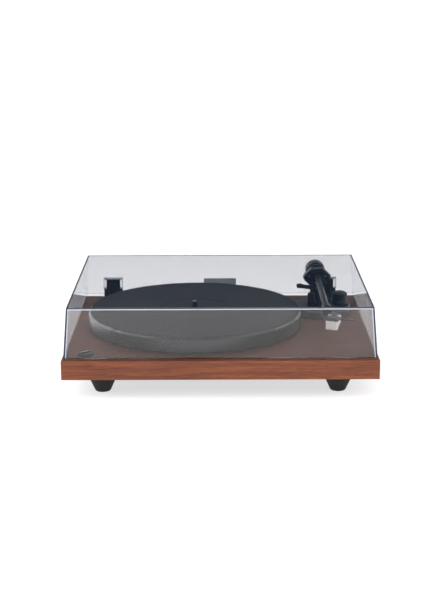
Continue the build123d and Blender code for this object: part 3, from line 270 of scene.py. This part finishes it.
def makePlatterPaint():
    material, tree, shader = newMaterial("castAluminiumPainted", {
        "Roughness": platterLook["roughness"], "IOR": platterLook["ior"]})
    centre = middleOf("platter")
    spot = addNode(tree, "ShaderNodeTexCoord").outputs["Object"]
    fromCentre = addNode(tree, "ShaderNodeVectorMath", {
        "operation": "SUBTRACT", 1: (centre.x, centre.y, 0)}, {0: spot})
    apart = addNode(tree, "ShaderNodeSeparateXYZ", None, {"Vector": fromCentre.outputs[0]})
    flat = addNode(tree, "ShaderNodeCombineXYZ", None, {"X": apart.outputs["X"], "Y": apart.outputs["Y"]})
    radius = addNode(tree, "ShaderNodeVectorMath", {"operation": "LENGTH"}, {0: flat.outputs[0]})
    lathePoint = addNode(tree, "ShaderNodeCombineXYZ", None, {
        "X": radius.outputs["Value"], "Z": apart.outputs["Z"]})
    ring = addNode(tree, "ShaderNodeTexNoise", {
        "Scale": 1 / (platterLook["ringMm"] * mm), "Detail": 2.0}, {"Vector": lathePoint.outputs[0]})
    bump = addNode(tree, "ShaderNodeBump", {
        "Strength": platterLook["relief"], "Distance": platterLook["reliefDeep"]}, {
        "Height": ring.outputs["Fac"]})
    tree.links.new(bump.outputs["Normal"], shader.inputs["Normal"])
    stops = [(at, toLinear(colour)) for at, colour in zip(platterLook["toneSpan"], platterLook["colours"])]
    tone = addNode(tree, "ShaderNodeValToRGB", {"stops": stops}, {"Fac": ring.outputs["Fac"]})
    tree.links.new(tone.outputs["Color"], shader.inputs["Base Color"])
    return material


# stamped steel of the arm, satin enamelled: blue black and smooth, with a faint orange peel
armPaint = grained("satinEnamelBlack", {
    "colours": ("#101217", "#15181F"), "roughness": 0.34, "grainMm": 1.6, "relief": 0.04})
# drawn aluminium tube, black anodised: dark, with long clear highlights
tubeAnodised = grained("anodisedAluminiumBlack", {
    "colours": ("#101319", "#151920"), "roughness": 0.36, "grainMm": 1.5, "relief": 0.04, "metallic": 0.1})
# ABS, moulded with a fine spark texture: dark and even, soft highlights
blackAbs = grained("absMouldedBlack", {
    "colours": ("#131417", "#1B1C20"), "roughness": 0.45, "grainMm": 0.5, "relief": 0.18})
# EPDM rubber, compression moulded: nearly black and dull
footRubber = grained("epdmRubberMoulded", {
    "colours": ("#090809", "#0E0C0D"), "roughness": 0.75, "grainMm": 0.9, "relief": 0.25})
# nitrile belt rubber, ground flat: dull black
beltRubber = grained("nitrileRubberGround", {
    "colours": ("#141414", "#1E1E1E"), "roughness": 0.8, "grainMm": 0.4, "relief": 0.2})
# ivory ABS, moulded: off-white with a soft gloss
ivoryAbs = grained("absMouldedIvory", {
    "colours": ("#CFCAC1", "#D8D4CC"), "roughness": 0.38, "grainMm": 0.6, "relief": 0.08})
# hardboard, pressed and sprayed black: a slightly fibrous dull sheet
hardboard = grained("hardboardSprayed", {
    "colours": ("#16151A", "#201F22"), "roughness": 0.75, "grainMm": 1.4, "relief": 0.35})
# mild steel, zinc plated: pale bluish grey with cloudy gloss
zincSteel = grained("steelZincPlated", {
    "colours": ("#9EA3A8", "#B9BDC1"), "roughness": 0.35, "grainMm": 1.2, "relief": 0.12, "metallic": 1.0})
# carbon steel, ground and polished: bright, sharp highlights
brightSteel = grained("steelPolished", {
    "colours": ("#D4D6D8", "#E2E3E5"), "roughness": 0.3, "grainMm": 0.7, "relief": 0.03, "metallic": 1.0})
# steel screws, black oxide: dark with a slight oily sheen
oxideSteel = grained("steelBlackOxide", {
    "colours": ("#1D1D20", "#2A2A2D"), "roughness": 0.4, "grainMm": 0.8, "relief": 0.15, "metallic": 0.6})
# steel, ground: the spindle, a darker grey than the polished parts
spindleSteel = grained("steelGround", {
    "colours": ("#5A5C62", "#6A6C72"), "roughness": 0.25, "grainMm": 1.0, "relief": 0.03, "metallic": 1.0})
# bronze, sintered: warm, porous and dull
bronze = grained("bronzeSintered", {
    "colours": ("#7E5A33", "#96703F"), "roughness": 0.5, "grainMm": 0.5, "relief": 0.3, "metallic": 1.0})
# brass, turned and gilt: yellow, bright
brass = grained("brassPlated", {
    "colours": ("#C8A047", "#DAB863"), "roughness": 0.22, "grainMm": 0.7, "relief": 0.06, "metallic": 1.0})
# nylon, moulded natural: milky
nylon = grained("nylonMoulded", {
    "colours": ("#DAD8CE", "#E4E2DA"), "roughness": 0.5, "grainMm": 0.7, "relief": 0.1})
# glass fibre board with green mask: semi gloss over faint weave
boardGreen = grained("glassFibreBoard", {
    "colours": ("#12402A", "#185236"), "roughness": 0.35, "grainMm": 0.9, "relief": 0.1})
# aluminium plate, brushed and clear coated: pale grey, its coat duller than bare metal
brushedPlate = grained("aluminiumBrushed", {
    "colours": ("#C9CBD1", "#D4D6DB"), "roughness": 0.42, "grainMm": 1.2, "relief": 0.1, "metallic": 0.1})
# vinyl bumper, moulded: dark clear grey
bumperVinyl = grained("vinylBumper", {
    "colours": ("#2A2F36", "#343A42"), "roughness": 0.5, "grainMm": 0.8, "relief": 0.1})

dress(makePlatterPaint(), "platter")
dress(armPaint, "arm_base", "arm_pillar", "arm_yoke", "yoke_shaft", "pivot_block", "rear_stub", "counterweight")
dress(tubeAnodised, "arm_tube", "headshell", "finger_lift")
dress(blackAbs, "speed_knob", "antiskate_knob", "arm_rest", "arm_clip", "lift_housing", "cue_lever",
      "hinge_bases", "hinge_blades", "rotary_switch", "power_inlet", "jack_panel", "force_dial",
      "sub_platter", "board_parts")
dress(footRubber, "foot_front_left", "foot_front_right", "foot_rear_left", "foot_rear_right", "lift_bar")
dress(beltRubber, "drive_belt", "motor_isolators")
dress(ivoryAbs, "cartridge", "stylus_holder")
dress(hardboard, "bottom_cover")
dress(zincSteel, "motor_plate", "motor_case", "bearing_housing")
dress(spindleSteel, "spindle")
dress(brightSteel, "thrust_ball", "motor_shaft", "pivot_screws", "cartridge_screws", "stylus")
dress(oxideSteel, "cover_screws", "wood_screws", "arm_base_screws", "foot_screws", "hinge_pins")
dress(bronze, "bearing_bushes")
dress(brass, "motor_pulley", "phono_sockets", "ground_post")
dress(nylon, "thrust_pad")
dress(boardGreen, "circuit_board")
dress(brushedPlate, "nameplate")
dress(bumperVinyl, "lid_bumpers")
print("stage: hard parts dressed")

# rubber mat, moulded with fine rings: dark grey and dull, each ring a thin line of light
matLook = {
    "finish": {"colours": ("#151518", "#1B1B1F"), "roughness": 0.62, "grainMm": 3.0, "relief": 0.06},
    "hole": 3.7 * mm,
    "edge": 0.5 * mm,         # chamfer at the rim
    "plainRim": 3.0 * mm,
    "pitch": 4.0 * mm,        # from ring to ring
    "groove": 0.15 * mm,      # depth of a ring
    "grooveWide": 1.2 * mm,
    "grooveWall": 0.3 * mm,
    "labelRadius": 50.0 * mm,
    "labelDrop": 0.8 * mm,
    "labelWall": 0.6 * mm,
    "holeRing": 12.0 * mm,    # one more ring, so the faces about the hole stay short
    "steps": 192,
}


def makeMat():
    low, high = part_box("mat")
    outer = (high.x - low.x) / 2
    top, bottom = high.z, low.z
    edge, hole, label = matLook["edge"], matLook["hole"], matLook["labelRadius"]
    sunk = top - matLook["labelDrop"]
    groove = top - matLook["groove"]
    wall, wide = matLook["grooveWall"], matLook["grooveWide"]
    profile = [(hole, bottom), (outer, bottom), (outer, top - edge), (outer - edge, top)]
    radius = outer - matLook["plainRim"]
    while radius > label + 2 * matLook["pitch"]:
        profile += [(radius, top), (radius - wall, groove), (radius - wide + wall, groove), (radius - wide, top)]
        radius -= matLook["pitch"]
    profile += [(label, top), (label - matLook["labelWall"], sunk), (hole + matLook["holeRing"], sunk), (hole, sunk)]
    mesh = lathe("rubberMat", profile, middleOf("mat"), matLook["steps"])
    material = grained("rubberMouldedMat", matLook["finish"])
    piece = place("record_mat", mesh, material, "turning_platter", smooth=False)
    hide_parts("mat")


makeMat()
print("stage: mat made")

# acrylic sheet, moulded with a smoke tint: clear face on, navy where the eye looks along the sheet
acrylic = {
    "tint": "#FCFCFD",
    "ior": 1.4,
    "soak": "#8E9DB8",        # what a long way through the sheet leaves of white light
    "soakDensity": 17.0,
}
# painted light on the acrylic edges: slim beads, one line of each a painted glow, the other a painted navy shade
coverLine = {
    "bright": {"colours": ("#BFC4D0", "#CDD2DC"), "roughness": 0.35, "grainMm": 1.5, "relief": 0.04},
    "dark": {"colours": ("#222B42", "#2E3852"), "roughness": 0.3, "grainMm": 1.5, "relief": 0.04},
    "proud": 0.2 * mm,        # how far every line stands out from the sheet
    "footGap": 0.4 * mm,
    "cornerBand": 1.2 * mm,   # points this near the top or foot count as its corners
    # the lines of the front panel, from its top and from its side
    "frontInset": 2.0 * mm, "frontDrop": 1.5 * mm, "frontWide": 1.3 * mm,
    "uprightInset": 3.2 * mm, "uprightDrop": 2.0 * mm, "uprightWide": 1.0 * mm,
    "cornerInset": 1.2 * mm, "cornerDrop": 0.6 * mm, "cornerWide": 1.9 * mm,
    # the painted dark lines round the top
    "ridgeInset": 0.9 * mm, "ridgeEnd": 0.5 * mm, "ridgeWide": 1.7 * mm,
    "brinkInset": 0.5 * mm, "brinkBack": 1.8 * mm, "brinkWide": 3.2 * mm,
    # the painted bright lines of the two hinge pockets, placed from the hinge blades
    "pocketSide": 3.8 * mm, "pocketFront": 2.3 * mm, "pocketRoof": 2.4 * mm,
    "pocketTall": 15.0 * mm, "pocketWide": 1.0 * mm,
}


def makeAcrylic():
    material, tree, shader = newMaterial("acrylicSmokeClear", {
        "Base Color": toLinear(acrylic["tint"]), "Transmission Weight": 1.0,
        "IOR": acrylic["ior"], "Roughness": 0.0})
    inside = addNode(tree, "ShaderNodeVolumeAbsorption", {
        "Color": toLinear(acrylic["soak"]), "Density": acrylic["soakDensity"]})
    tree.links.new(inside.outputs[0], tree.nodes["Material Output"].inputs["Volume"])
    return material


def coverCorners():
    # outer sides of the cover at its top and at its foot, from its own mesh
    points = [vertex.co for vertex in nodes["lid"].data.vertices]
    top = max(point.z for point in points)
    foot = min(point.z for point in points)
    sides = {}
    for name, level in (("top", top), ("foot", foot)):
        near = [point for point in points if abs(point.z - level) < coverLine["cornerBand"]]
        sides[name] = {"x": max(p.x for p in near), "front": min(p.y for p in near), "rear": max(p.y for p in near)}
    return sides, foot, top


def beadAlong(name, start, end, outward, width, material):
    # a slim three sided bead between two points, standing out from the sheet on its outward side; it carries a
    # painted line of glow or shade
    side = (end - start).normalized().cross(outward).normalized()
    section = [side * width / 2, outward * coverLine["proud"], -side * width / 2]
    bm = bmesh.new()
    first = [bm.verts.new(start + point) for point in section]
    last = [bm.verts.new(end + point) for point in section]
    joinRings(bm, first, last)
    bm.faces.new(first)
    bm.faces.new(last)
    mesh = closeMesh(bm, bpy.data.meshes.new(name))
    return place(name, mesh, material, "dust_cover", smooth=False)


def makeCoverEdges():
    line = coverLine
    sides, foot, top = coverCorners()
    # painted glow: the bright beads stand for light piped along the sheet's edges
    bright = grained("acrylicEdgePaintedGlow", line["bright"])
    # painted shade: the dark beads stand for the navy seen along the sheet
    dark = grained("acrylicEdgePaintedShade", line["dark"])
    xTop, yFront, yRear = sides["top"]["x"], sides["top"]["front"], sides["top"]["rear"]
    xFoot, yFoot = sides["foot"]["x"], sides["foot"]["front"]
    frontOut = Vector((0, -1, (yFront - yFoot) / (top - foot))).normalized()
    upOut = Vector((0, 0, 1))

    def onFront(inset, drop):
        # a point of the front panel, inset from its right edge and dropped from the top
        share = drop / (top - foot)
        return Vector((xTop + (xFoot - xTop) * share - inset, yFront + (yFoot - yFront) * share, top - drop))

    keep, flip = Vector((1, 1, 1)), Vector((-1, 1, 1))
    low = top - foot - line["footGap"]
    start = onFront(line["frontInset"], line["frontDrop"])
    beadAlong("cover_edge_front", start, start * flip, frontOut, line["frontWide"], bright)
    for side, way in (("right", keep), ("left", flip)):
        start, end = onFront(line["uprightInset"], low), onFront(line["uprightInset"], line["uprightDrop"])
        beadAlong("cover_edge_upright_" + side, start * way, end * way, frontOut, line["uprightWide"], bright)
        start, end = onFront(line["cornerInset"], low), onFront(line["cornerInset"], line["cornerDrop"])
        beadAlong("cover_corner_" + side, start * way, end * way, frontOut, line["cornerWide"], dark)
        start = Vector((xTop - line["ridgeInset"], yFront + line["ridgeEnd"], top))
        end = Vector((xTop - line["ridgeInset"], yRear - line["ridgeEnd"], top))
        beadAlong("cover_ridge_" + side, start * way, end * way, upOut, line["ridgeWide"], dark)
    start = Vector((xTop - line["brinkInset"], yFront + line["brinkBack"], top))
    beadAlong("cover_ridge_front", start, start * flip, upOut, line["brinkWide"], dark)
    blades = [vertex.co for vertex in nodes["hinge_blades"].data.vertices]
    for side, way in (("right", 1), ("left", -1)):
        near = [point for point in blades if point.x * way > 0]
        left = min(point.x for point in near) - line["pocketSide"]
        right = max(point.x for point in near) + line["pocketSide"]
        front = min(point.y for point in near) - line["pocketFront"]
        roof = max(point.z for point in near) + line["pocketRoof"]
        sill = roof - line["pocketTall"]
        corners = [Vector((x, front, z)) for x, z in ((left, sill), (left, roof), (right, roof), (right, sill))]
        for index, part in enumerate(("inner", "top", "outer")):
            beadAlong("pocket_edge_" + part + "_" + side, corners[index], corners[index + 1],
                      Vector((0, -1, 0)), line["pocketWide"], bright)


dress(makeAcrylic(), "lid")
makeCoverEdges()
print("stage: dust cover clear")

# tinned copper leads in soft vinyl: thin coloured curves from the arm to the pickup
leadLook = {
    "colours": ("#B3322B", "#E8E6E0", "#2F7A4A", "#2B4E9B"),
    "roughness": 0.45, "grainMm": 1.0, "relief": 0.05,
    "radius": 0.45 * mm,
    "sag": 2.2 * mm,
    "apart": 1.6 * mm,        # from lead to lead at the pickup
    "gather": 0.5,            # share of that where they leave the arm
    "startAhead": 2.0 * mm, "startDown": 1.2 * mm,
    "endAside": 2.0 * mm, "endBack": 2.0 * mm, "endDown": 3.0 * mm,
    "runs": 8,
    "sides": 10,
}


def tubeAlong(name, points, radius, sides, material, body):
    # a round thread through points, closed at both ends
    bm = bmesh.new()
    rings = []
    for index, point in enumerate(points):
        ahead = points[min(index + 1, len(points) - 1)] - points[max(index - 1, 0)]
        side = ahead.cross(Vector((0, 0, 1))).normalized()
        over = side.cross(ahead).normalized()
        ring = []
        for step in range(sides):
            turn = 2 * math.pi * step / sides
            ring.append(bm.verts.new(point + side * radius * math.cos(turn) + over * radius * math.sin(turn)))
        rings.append(ring)
    for low, high in zip(rings, rings[1:]):
        joinRings(bm, low, high)
    bm.faces.new(rings[0])
    bm.faces.new(rings[-1])
    return place(name, closeMesh(bm, bpy.data.meshes.new(name)), material, body)


def makeLeads():
    look = leadLook
    tubeLow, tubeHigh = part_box("arm_tube")
    cartLow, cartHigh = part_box("cartridge")
    start = Vector(((tubeLow.x + tubeHigh.x) / 2, tubeLow.y - look["startAhead"], cartHigh.z - look["startDown"]))
    end = Vector(((cartLow.x + cartHigh.x) / 2 - look["endAside"],
                  cartHigh.y - look["endBack"], cartHigh.z - look["endDown"]))
    middle = (len(look["colours"]) - 1) / 2
    for index, colour in enumerate(look["colours"]):
        shift = Vector(((index - middle) * look["apart"], 0, 0))
        points = []
        for run in range(look["runs"] + 1):
            share = run / look["runs"]
            spread = look["gather"] + (1 - look["gather"]) * share
            point = start.lerp(end, share) + shift * spread
            point.z -= look["sag"] * math.sin(math.pi * share)
            points.append(point)
        material = grained("vinylLead" + str(index), {
            "colours": (colour, colour), "roughness": look["roughness"],
            "grainMm": look["grainMm"], "relief": look["relief"]})
        tubeAlong("pickup_lead_" + str(index + 1), points, look["radius"], look["sides"],
                  material, "arm")


# pressed nylon insulators round the sockets, red for the right channel and white for the left
ringLook = {
    "channels": (("right", "#A32822"), ("left", "#E2E0DA")),
    "roughness": 0.4, "grainMm": 1.0, "relief": 0.06,
    "inner": 4.3 * mm,
    "outer": 6.2 * mm,
    "depth": 1.2 * mm,
    "chamfer": 0.5 * mm,
    "chamferFrom": 0.6,       # share of the depth where the chamfer starts
    "steps": 48,
}


def makeSocketRings():
    look = ringLook
    low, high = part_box("phono_sockets")
    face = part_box("jack_panel")[1].y
    radius = (high.z - low.z) / 2
    inner, outer, depth = look["inner"], look["outer"], look["depth"]
    profile = [(inner, 0), (outer, 0), (outer, depth * look["chamferFrom"]),
               (outer - look["chamfer"], depth), (inner, depth)]
    lieBack = Matrix.Rotation(math.radians(-90), 4, "X")    # from upright to facing the rear
    places = (low.x + radius, high.x - radius)
    for index, (channel, colour) in enumerate(look["channels"]):
        name = "socket_ring_" + channel
        mesh = lathe(name, profile, Vector((0, 0, 0)), look["steps"])
        mesh.transform(Matrix.Translation((places[index], face, (low.z + high.z) / 2)) @ lieBack)
        material = grained("nylonPressed" + str(index), {
            "colours": (colour, colour), "roughness": look["roughness"],
            "grainMm": look["grainMm"], "relief": look["relief"]})
        place(name, mesh, material, "base", smooth=False)


# pad printed ink, baked on: the pale matt line on the speed knob
pointerLook = {
    "finish": {"colours": ("#C9D2E0", "#C9D2E0"), "roughness": 0.5, "grainMm": 1.0, "relief": 0.03},
    "length": 13.0 * mm,
    "width": 1.0 * mm,
    "height": 0.15 * mm,
    "turn": 40,               # degrees from the line across the front
}


def makePointerLine():
    centre = middleOf("speed_knob")
    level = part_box("speed_knob")[1].z
    turn = math.radians(pointerLook["turn"])
    along = Vector((math.cos(turn), math.sin(turn), 0))
    aside = Vector((-along.y, along.x, 0))
    half, width = pointerLook["length"] / 2, pointerLook["width"] / 2
    corners = [(-half, -width), (half, -width), (half, width), (-half, width)]
    bm = bmesh.new()
    rings = []
    for rise in (0.0, pointerLook["height"]):
        foot = Vector((centre.x, centre.y, level + rise))
        rings.append([bm.verts.new(foot + along * a + aside * b) for a, b in corners])
    bm.faces.new(rings[0])
    bm.faces.new(rings[1])
    joinRings(bm, rings[0], rings[1])
    mesh = closeMesh(bm, bpy.data.meshes.new("pointerLine"))
    material = grained("padPrintedInk", pointerLook["finish"])
    place("pointer_line", mesh, material, "speed_selector", smooth=False)


# pressed steel shroud behind the arm's pivots, enamelled with the yoke
shroudLook = {
    "halfWide": 18.0 * mm,
    "halfHigh": 12.4 * mm,
    "cut": 21.3 * mm,         # how far out the corners are cut off
    "hole": 6.4 * mm,
    "thick": 0.7 * mm,
    "gap": 0.1 * mm,          # air between it and the yoke
    "steps": 64,
}


def makeShroud():
    look = shroudLook
    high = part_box("arm_yoke")[1]
    middle = middleOf("arm_yoke")
    axis = middleOf("rear_stub").z
    bm = bmesh.new()
    rings = []
    for y in (high.y + look["gap"], high.y + look["gap"] + look["thick"]):
        outer, inner = [], []
        for step in range(look["steps"]):
            turn = 2 * math.pi * (step + 0.5) / look["steps"]
            c, s = math.cos(turn), math.sin(turn)
            reach = min(look["halfWide"] / abs(c), look["halfHigh"] / abs(s), look["cut"] / (abs(c) + abs(s)))
            outer.append(bm.verts.new((middle.x + reach * c, y, middle.z + reach * s)))
            inner.append(bm.verts.new((middle.x + look["hole"] * c, y, axis + look["hole"] * s)))
        rings.append((outer, inner))
    loops = [rings[0][0], rings[0][1], rings[1][1], rings[1][0]]
    for first, second in zip(loops, loops[1:] + loops[:1]):
        joinRings(bm, first, second)
    mesh = closeMesh(bm, bpy.data.meshes.new("gimbalShroud"))
    place("gimbal_shroud", mesh, armPaint, "yoke", smooth=False)


makeShroud()
makeLeads()
makeSocketRings()
makePointerLine()
print("stage: small pieces made")

studio = {
    # light of the surround by the sine of its height over the horizon
    "surround": [(0.0, 1.35), (0.16, 1.35), (0.2, 0.03), (0.5, 0.03), (0.58, 1.5), (0.9, 1.5), (0.95, 0.4)],
    "surroundPeak": 2.5,
    "darkBelow": 0.1,             # bands darker than this are tinted blue
    "darkTint": (0.6, 1.0, 1.7),
    "sideBox": 2.0,               # light of the two tall boxes left and right
    "boxAside": (0.42, 0.52),     # where their inner edge fades in
    "boxFoot": (0.12, 0.2),
    "boxHead": (0.66, 0.58),
    "leftShare": 0.35,            # how much more of the light comes from the left
    "leanSpan": (0.1, 0.5),
    "floorHalf": 40.0,
    "floorGlow": 0.64,            # the lit sweep under the object, so its shadow stays pale
    "floorAlbedo": 0.5,
    "floorRoughness": 0.95,
    "floorSpecular": 0.1,
    "keyPower": 12.0,
    "keyPlace": (-1.8, -1.4, 2.4),
    "keyAim": (0, 0, 0.05),
    "keySize": (1.6, 1.2),
}


def makeSurround():
    world = bpy.data.worlds.new("paleStudio")
    bpy.context.scene.world = world
    world.use_nodes = True
    tree = world.node_tree
    spot = addNode(tree, "ShaderNodeTexCoord")
    apart = addNode(tree, "ShaderNodeSeparateXYZ", None, {"Vector": spot.outputs["Generated"]})
    stops = []
    for position, light in studio["surround"]:
        share = light / studio["surroundPeak"]
        tint = studio["darkTint"] if light < studio["darkBelow"] else (1.0, 1.0, 1.0)
        stops.append((position, (share * tint[0], share * tint[1], share * tint[2], 1)))
    ramp = addNode(tree, "ShaderNodeValToRGB", {"stops": stops}, {"Fac": apart.outputs["Z"]})
    # two tall soft boxes at the sides
    aside = addNode(tree, "ShaderNodeMath", {"operation": "ABSOLUTE"}, {0: apart.outputs["X"]})
    edges = []
    height = apart.outputs["Z"]
    for span, source in (("boxAside", aside.outputs[0]), ("boxFoot", height), ("boxHead", height)):
        edges.append(addNode(tree, "ShaderNodeMapRange", {
            "From Min": studio[span][0], "From Max": studio[span][1]}, {"Value": source}))
    box = addNode(tree, "ShaderNodeMath", {"operation": "MULTIPLY"}, {
        0: edges[1].outputs[0], 1: edges[2].outputs[0]})
    box = addNode(tree, "ShaderNodeMath", {"operation": "MULTIPLY"}, {
        0: box.outputs[0], 1: edges[0].outputs[0]})
    box = addNode(tree, "ShaderNodeMath", {
        "operation": "MULTIPLY", 1: studio["sideBox"] / studio["surroundPeak"]}, {0: box.outputs[0]})
    lit = addNode(tree, "ShaderNodeMix", {"data_type": "RGBA", "blend_type": "ADD", 0: 1.0}, {
        6: ramp.outputs["Color"], 7: box.outputs[0]})
    # the light leans to the left, more so higher up
    high = addNode(tree, "ShaderNodeMapRange", {
        "From Min": studio["leanSpan"][0], "From Max": studio["leanSpan"][1]}, {"Value": apart.outputs["Z"]})
    lean = addNode(tree, "ShaderNodeMath", {
        "operation": "MULTIPLY", 1: -studio["leftShare"]}, {0: apart.outputs["X"]})
    lean = addNode(tree, "ShaderNodeMath", {"operation": "MULTIPLY"}, {
        0: lean.outputs[0], 1: high.outputs[0]})
    lean = addNode(tree, "ShaderNodeMath", {"operation": "ADD", 1: 1.0}, {0: lean.outputs[0]})
    leaning = addNode(tree, "ShaderNodeMix", {"data_type": "RGBA", "blend_type": "MULTIPLY", 0: 1.0}, {
        6: lit.outputs[2], 7: lean.outputs[0]})
    background = tree.nodes["Background"]
    tree.links.new(leaning.outputs[2], background.inputs["Color"])
    background.inputs["Strength"].default_value = studio["surroundPeak"]


def makeFloor():
    mesh = bpy.data.meshes.new("floorMesh")
    half = studio["floorHalf"]
    corners = [(-half, -half, 0), (half, -half, 0), (half, half, 0), (-half, half, 0)]
    mesh.from_pydata(corners, [], [(0, 1, 2, 3)])
    floor = bpy.data.objects.new("floor", mesh)
    bpy.context.scene.collection.objects.link(floor)
    albedo = studio["floorAlbedo"]
    # seamless paper, matt: even, pale and without a highlight
    material, tree, shader = newMaterial("paperSweepMatt", {
        "Base Color": (albedo, albedo, albedo, 1), "Roughness": studio["floorRoughness"],
        "Specular IOR Level": studio["floorSpecular"],
        "Emission Color": (1, 1, 1, 1), "Emission Strength": studio["floorGlow"]})
    mesh.materials.append(material)


def makeKeyLight():
    data = bpy.data.lights.new("key", "AREA")
    data.shape = "RECTANGLE"
    data.size, data.size_y = studio["keySize"]
    data.energy = studio["keyPower"]
    light = bpy.data.objects.new("key", data)
    light.location = studio["keyPlace"]
    way = Vector(studio["keyAim"]) - Vector(studio["keyPlace"])
    light.rotation_euler = way.to_track_quat("-Z", "Y").to_euler()
    bpy.context.scene.collection.objects.link(light)


cameraLook = {
    "lens": 81.36,
    "sensor": 36.0,
    "aside": -2.2 * mm,
    "back": 1850.1 * mm,
    "height": 572.35 * mm,
    "pitch": 14.562,              # degrees below the horizon
    "roll": -0.205,
    "clipEnd": 100.0,
}


def makeCamera():
    data = bpy.data.cameras.new("camera")
    data.sensor_width = cameraLook["sensor"]
    data.lens = cameraLook["lens"]
    data.clip_end = cameraLook["clipEnd"]
    camera = bpy.data.objects.new("camera", data)
    camera.location = (cameraLook["aside"], -cameraLook["back"], cameraLook["height"])
    level = Matrix.Rotation(math.radians(90 - cameraLook["pitch"]), 3, "X")
    turn = level @ Matrix.Rotation(math.radians(cameraLook["roll"]), 3, "Z")
    camera.rotation_euler = turn.to_euler()
    bpy.context.scene.collection.objects.link(camera)
    bpy.context.scene.camera = camera


makeSurround()
makeFloor()
makeKeyLight()
makeCamera()
bpy.context.scene.view_settings.view_transform = "Standard"
print("stage: studio and camera set")
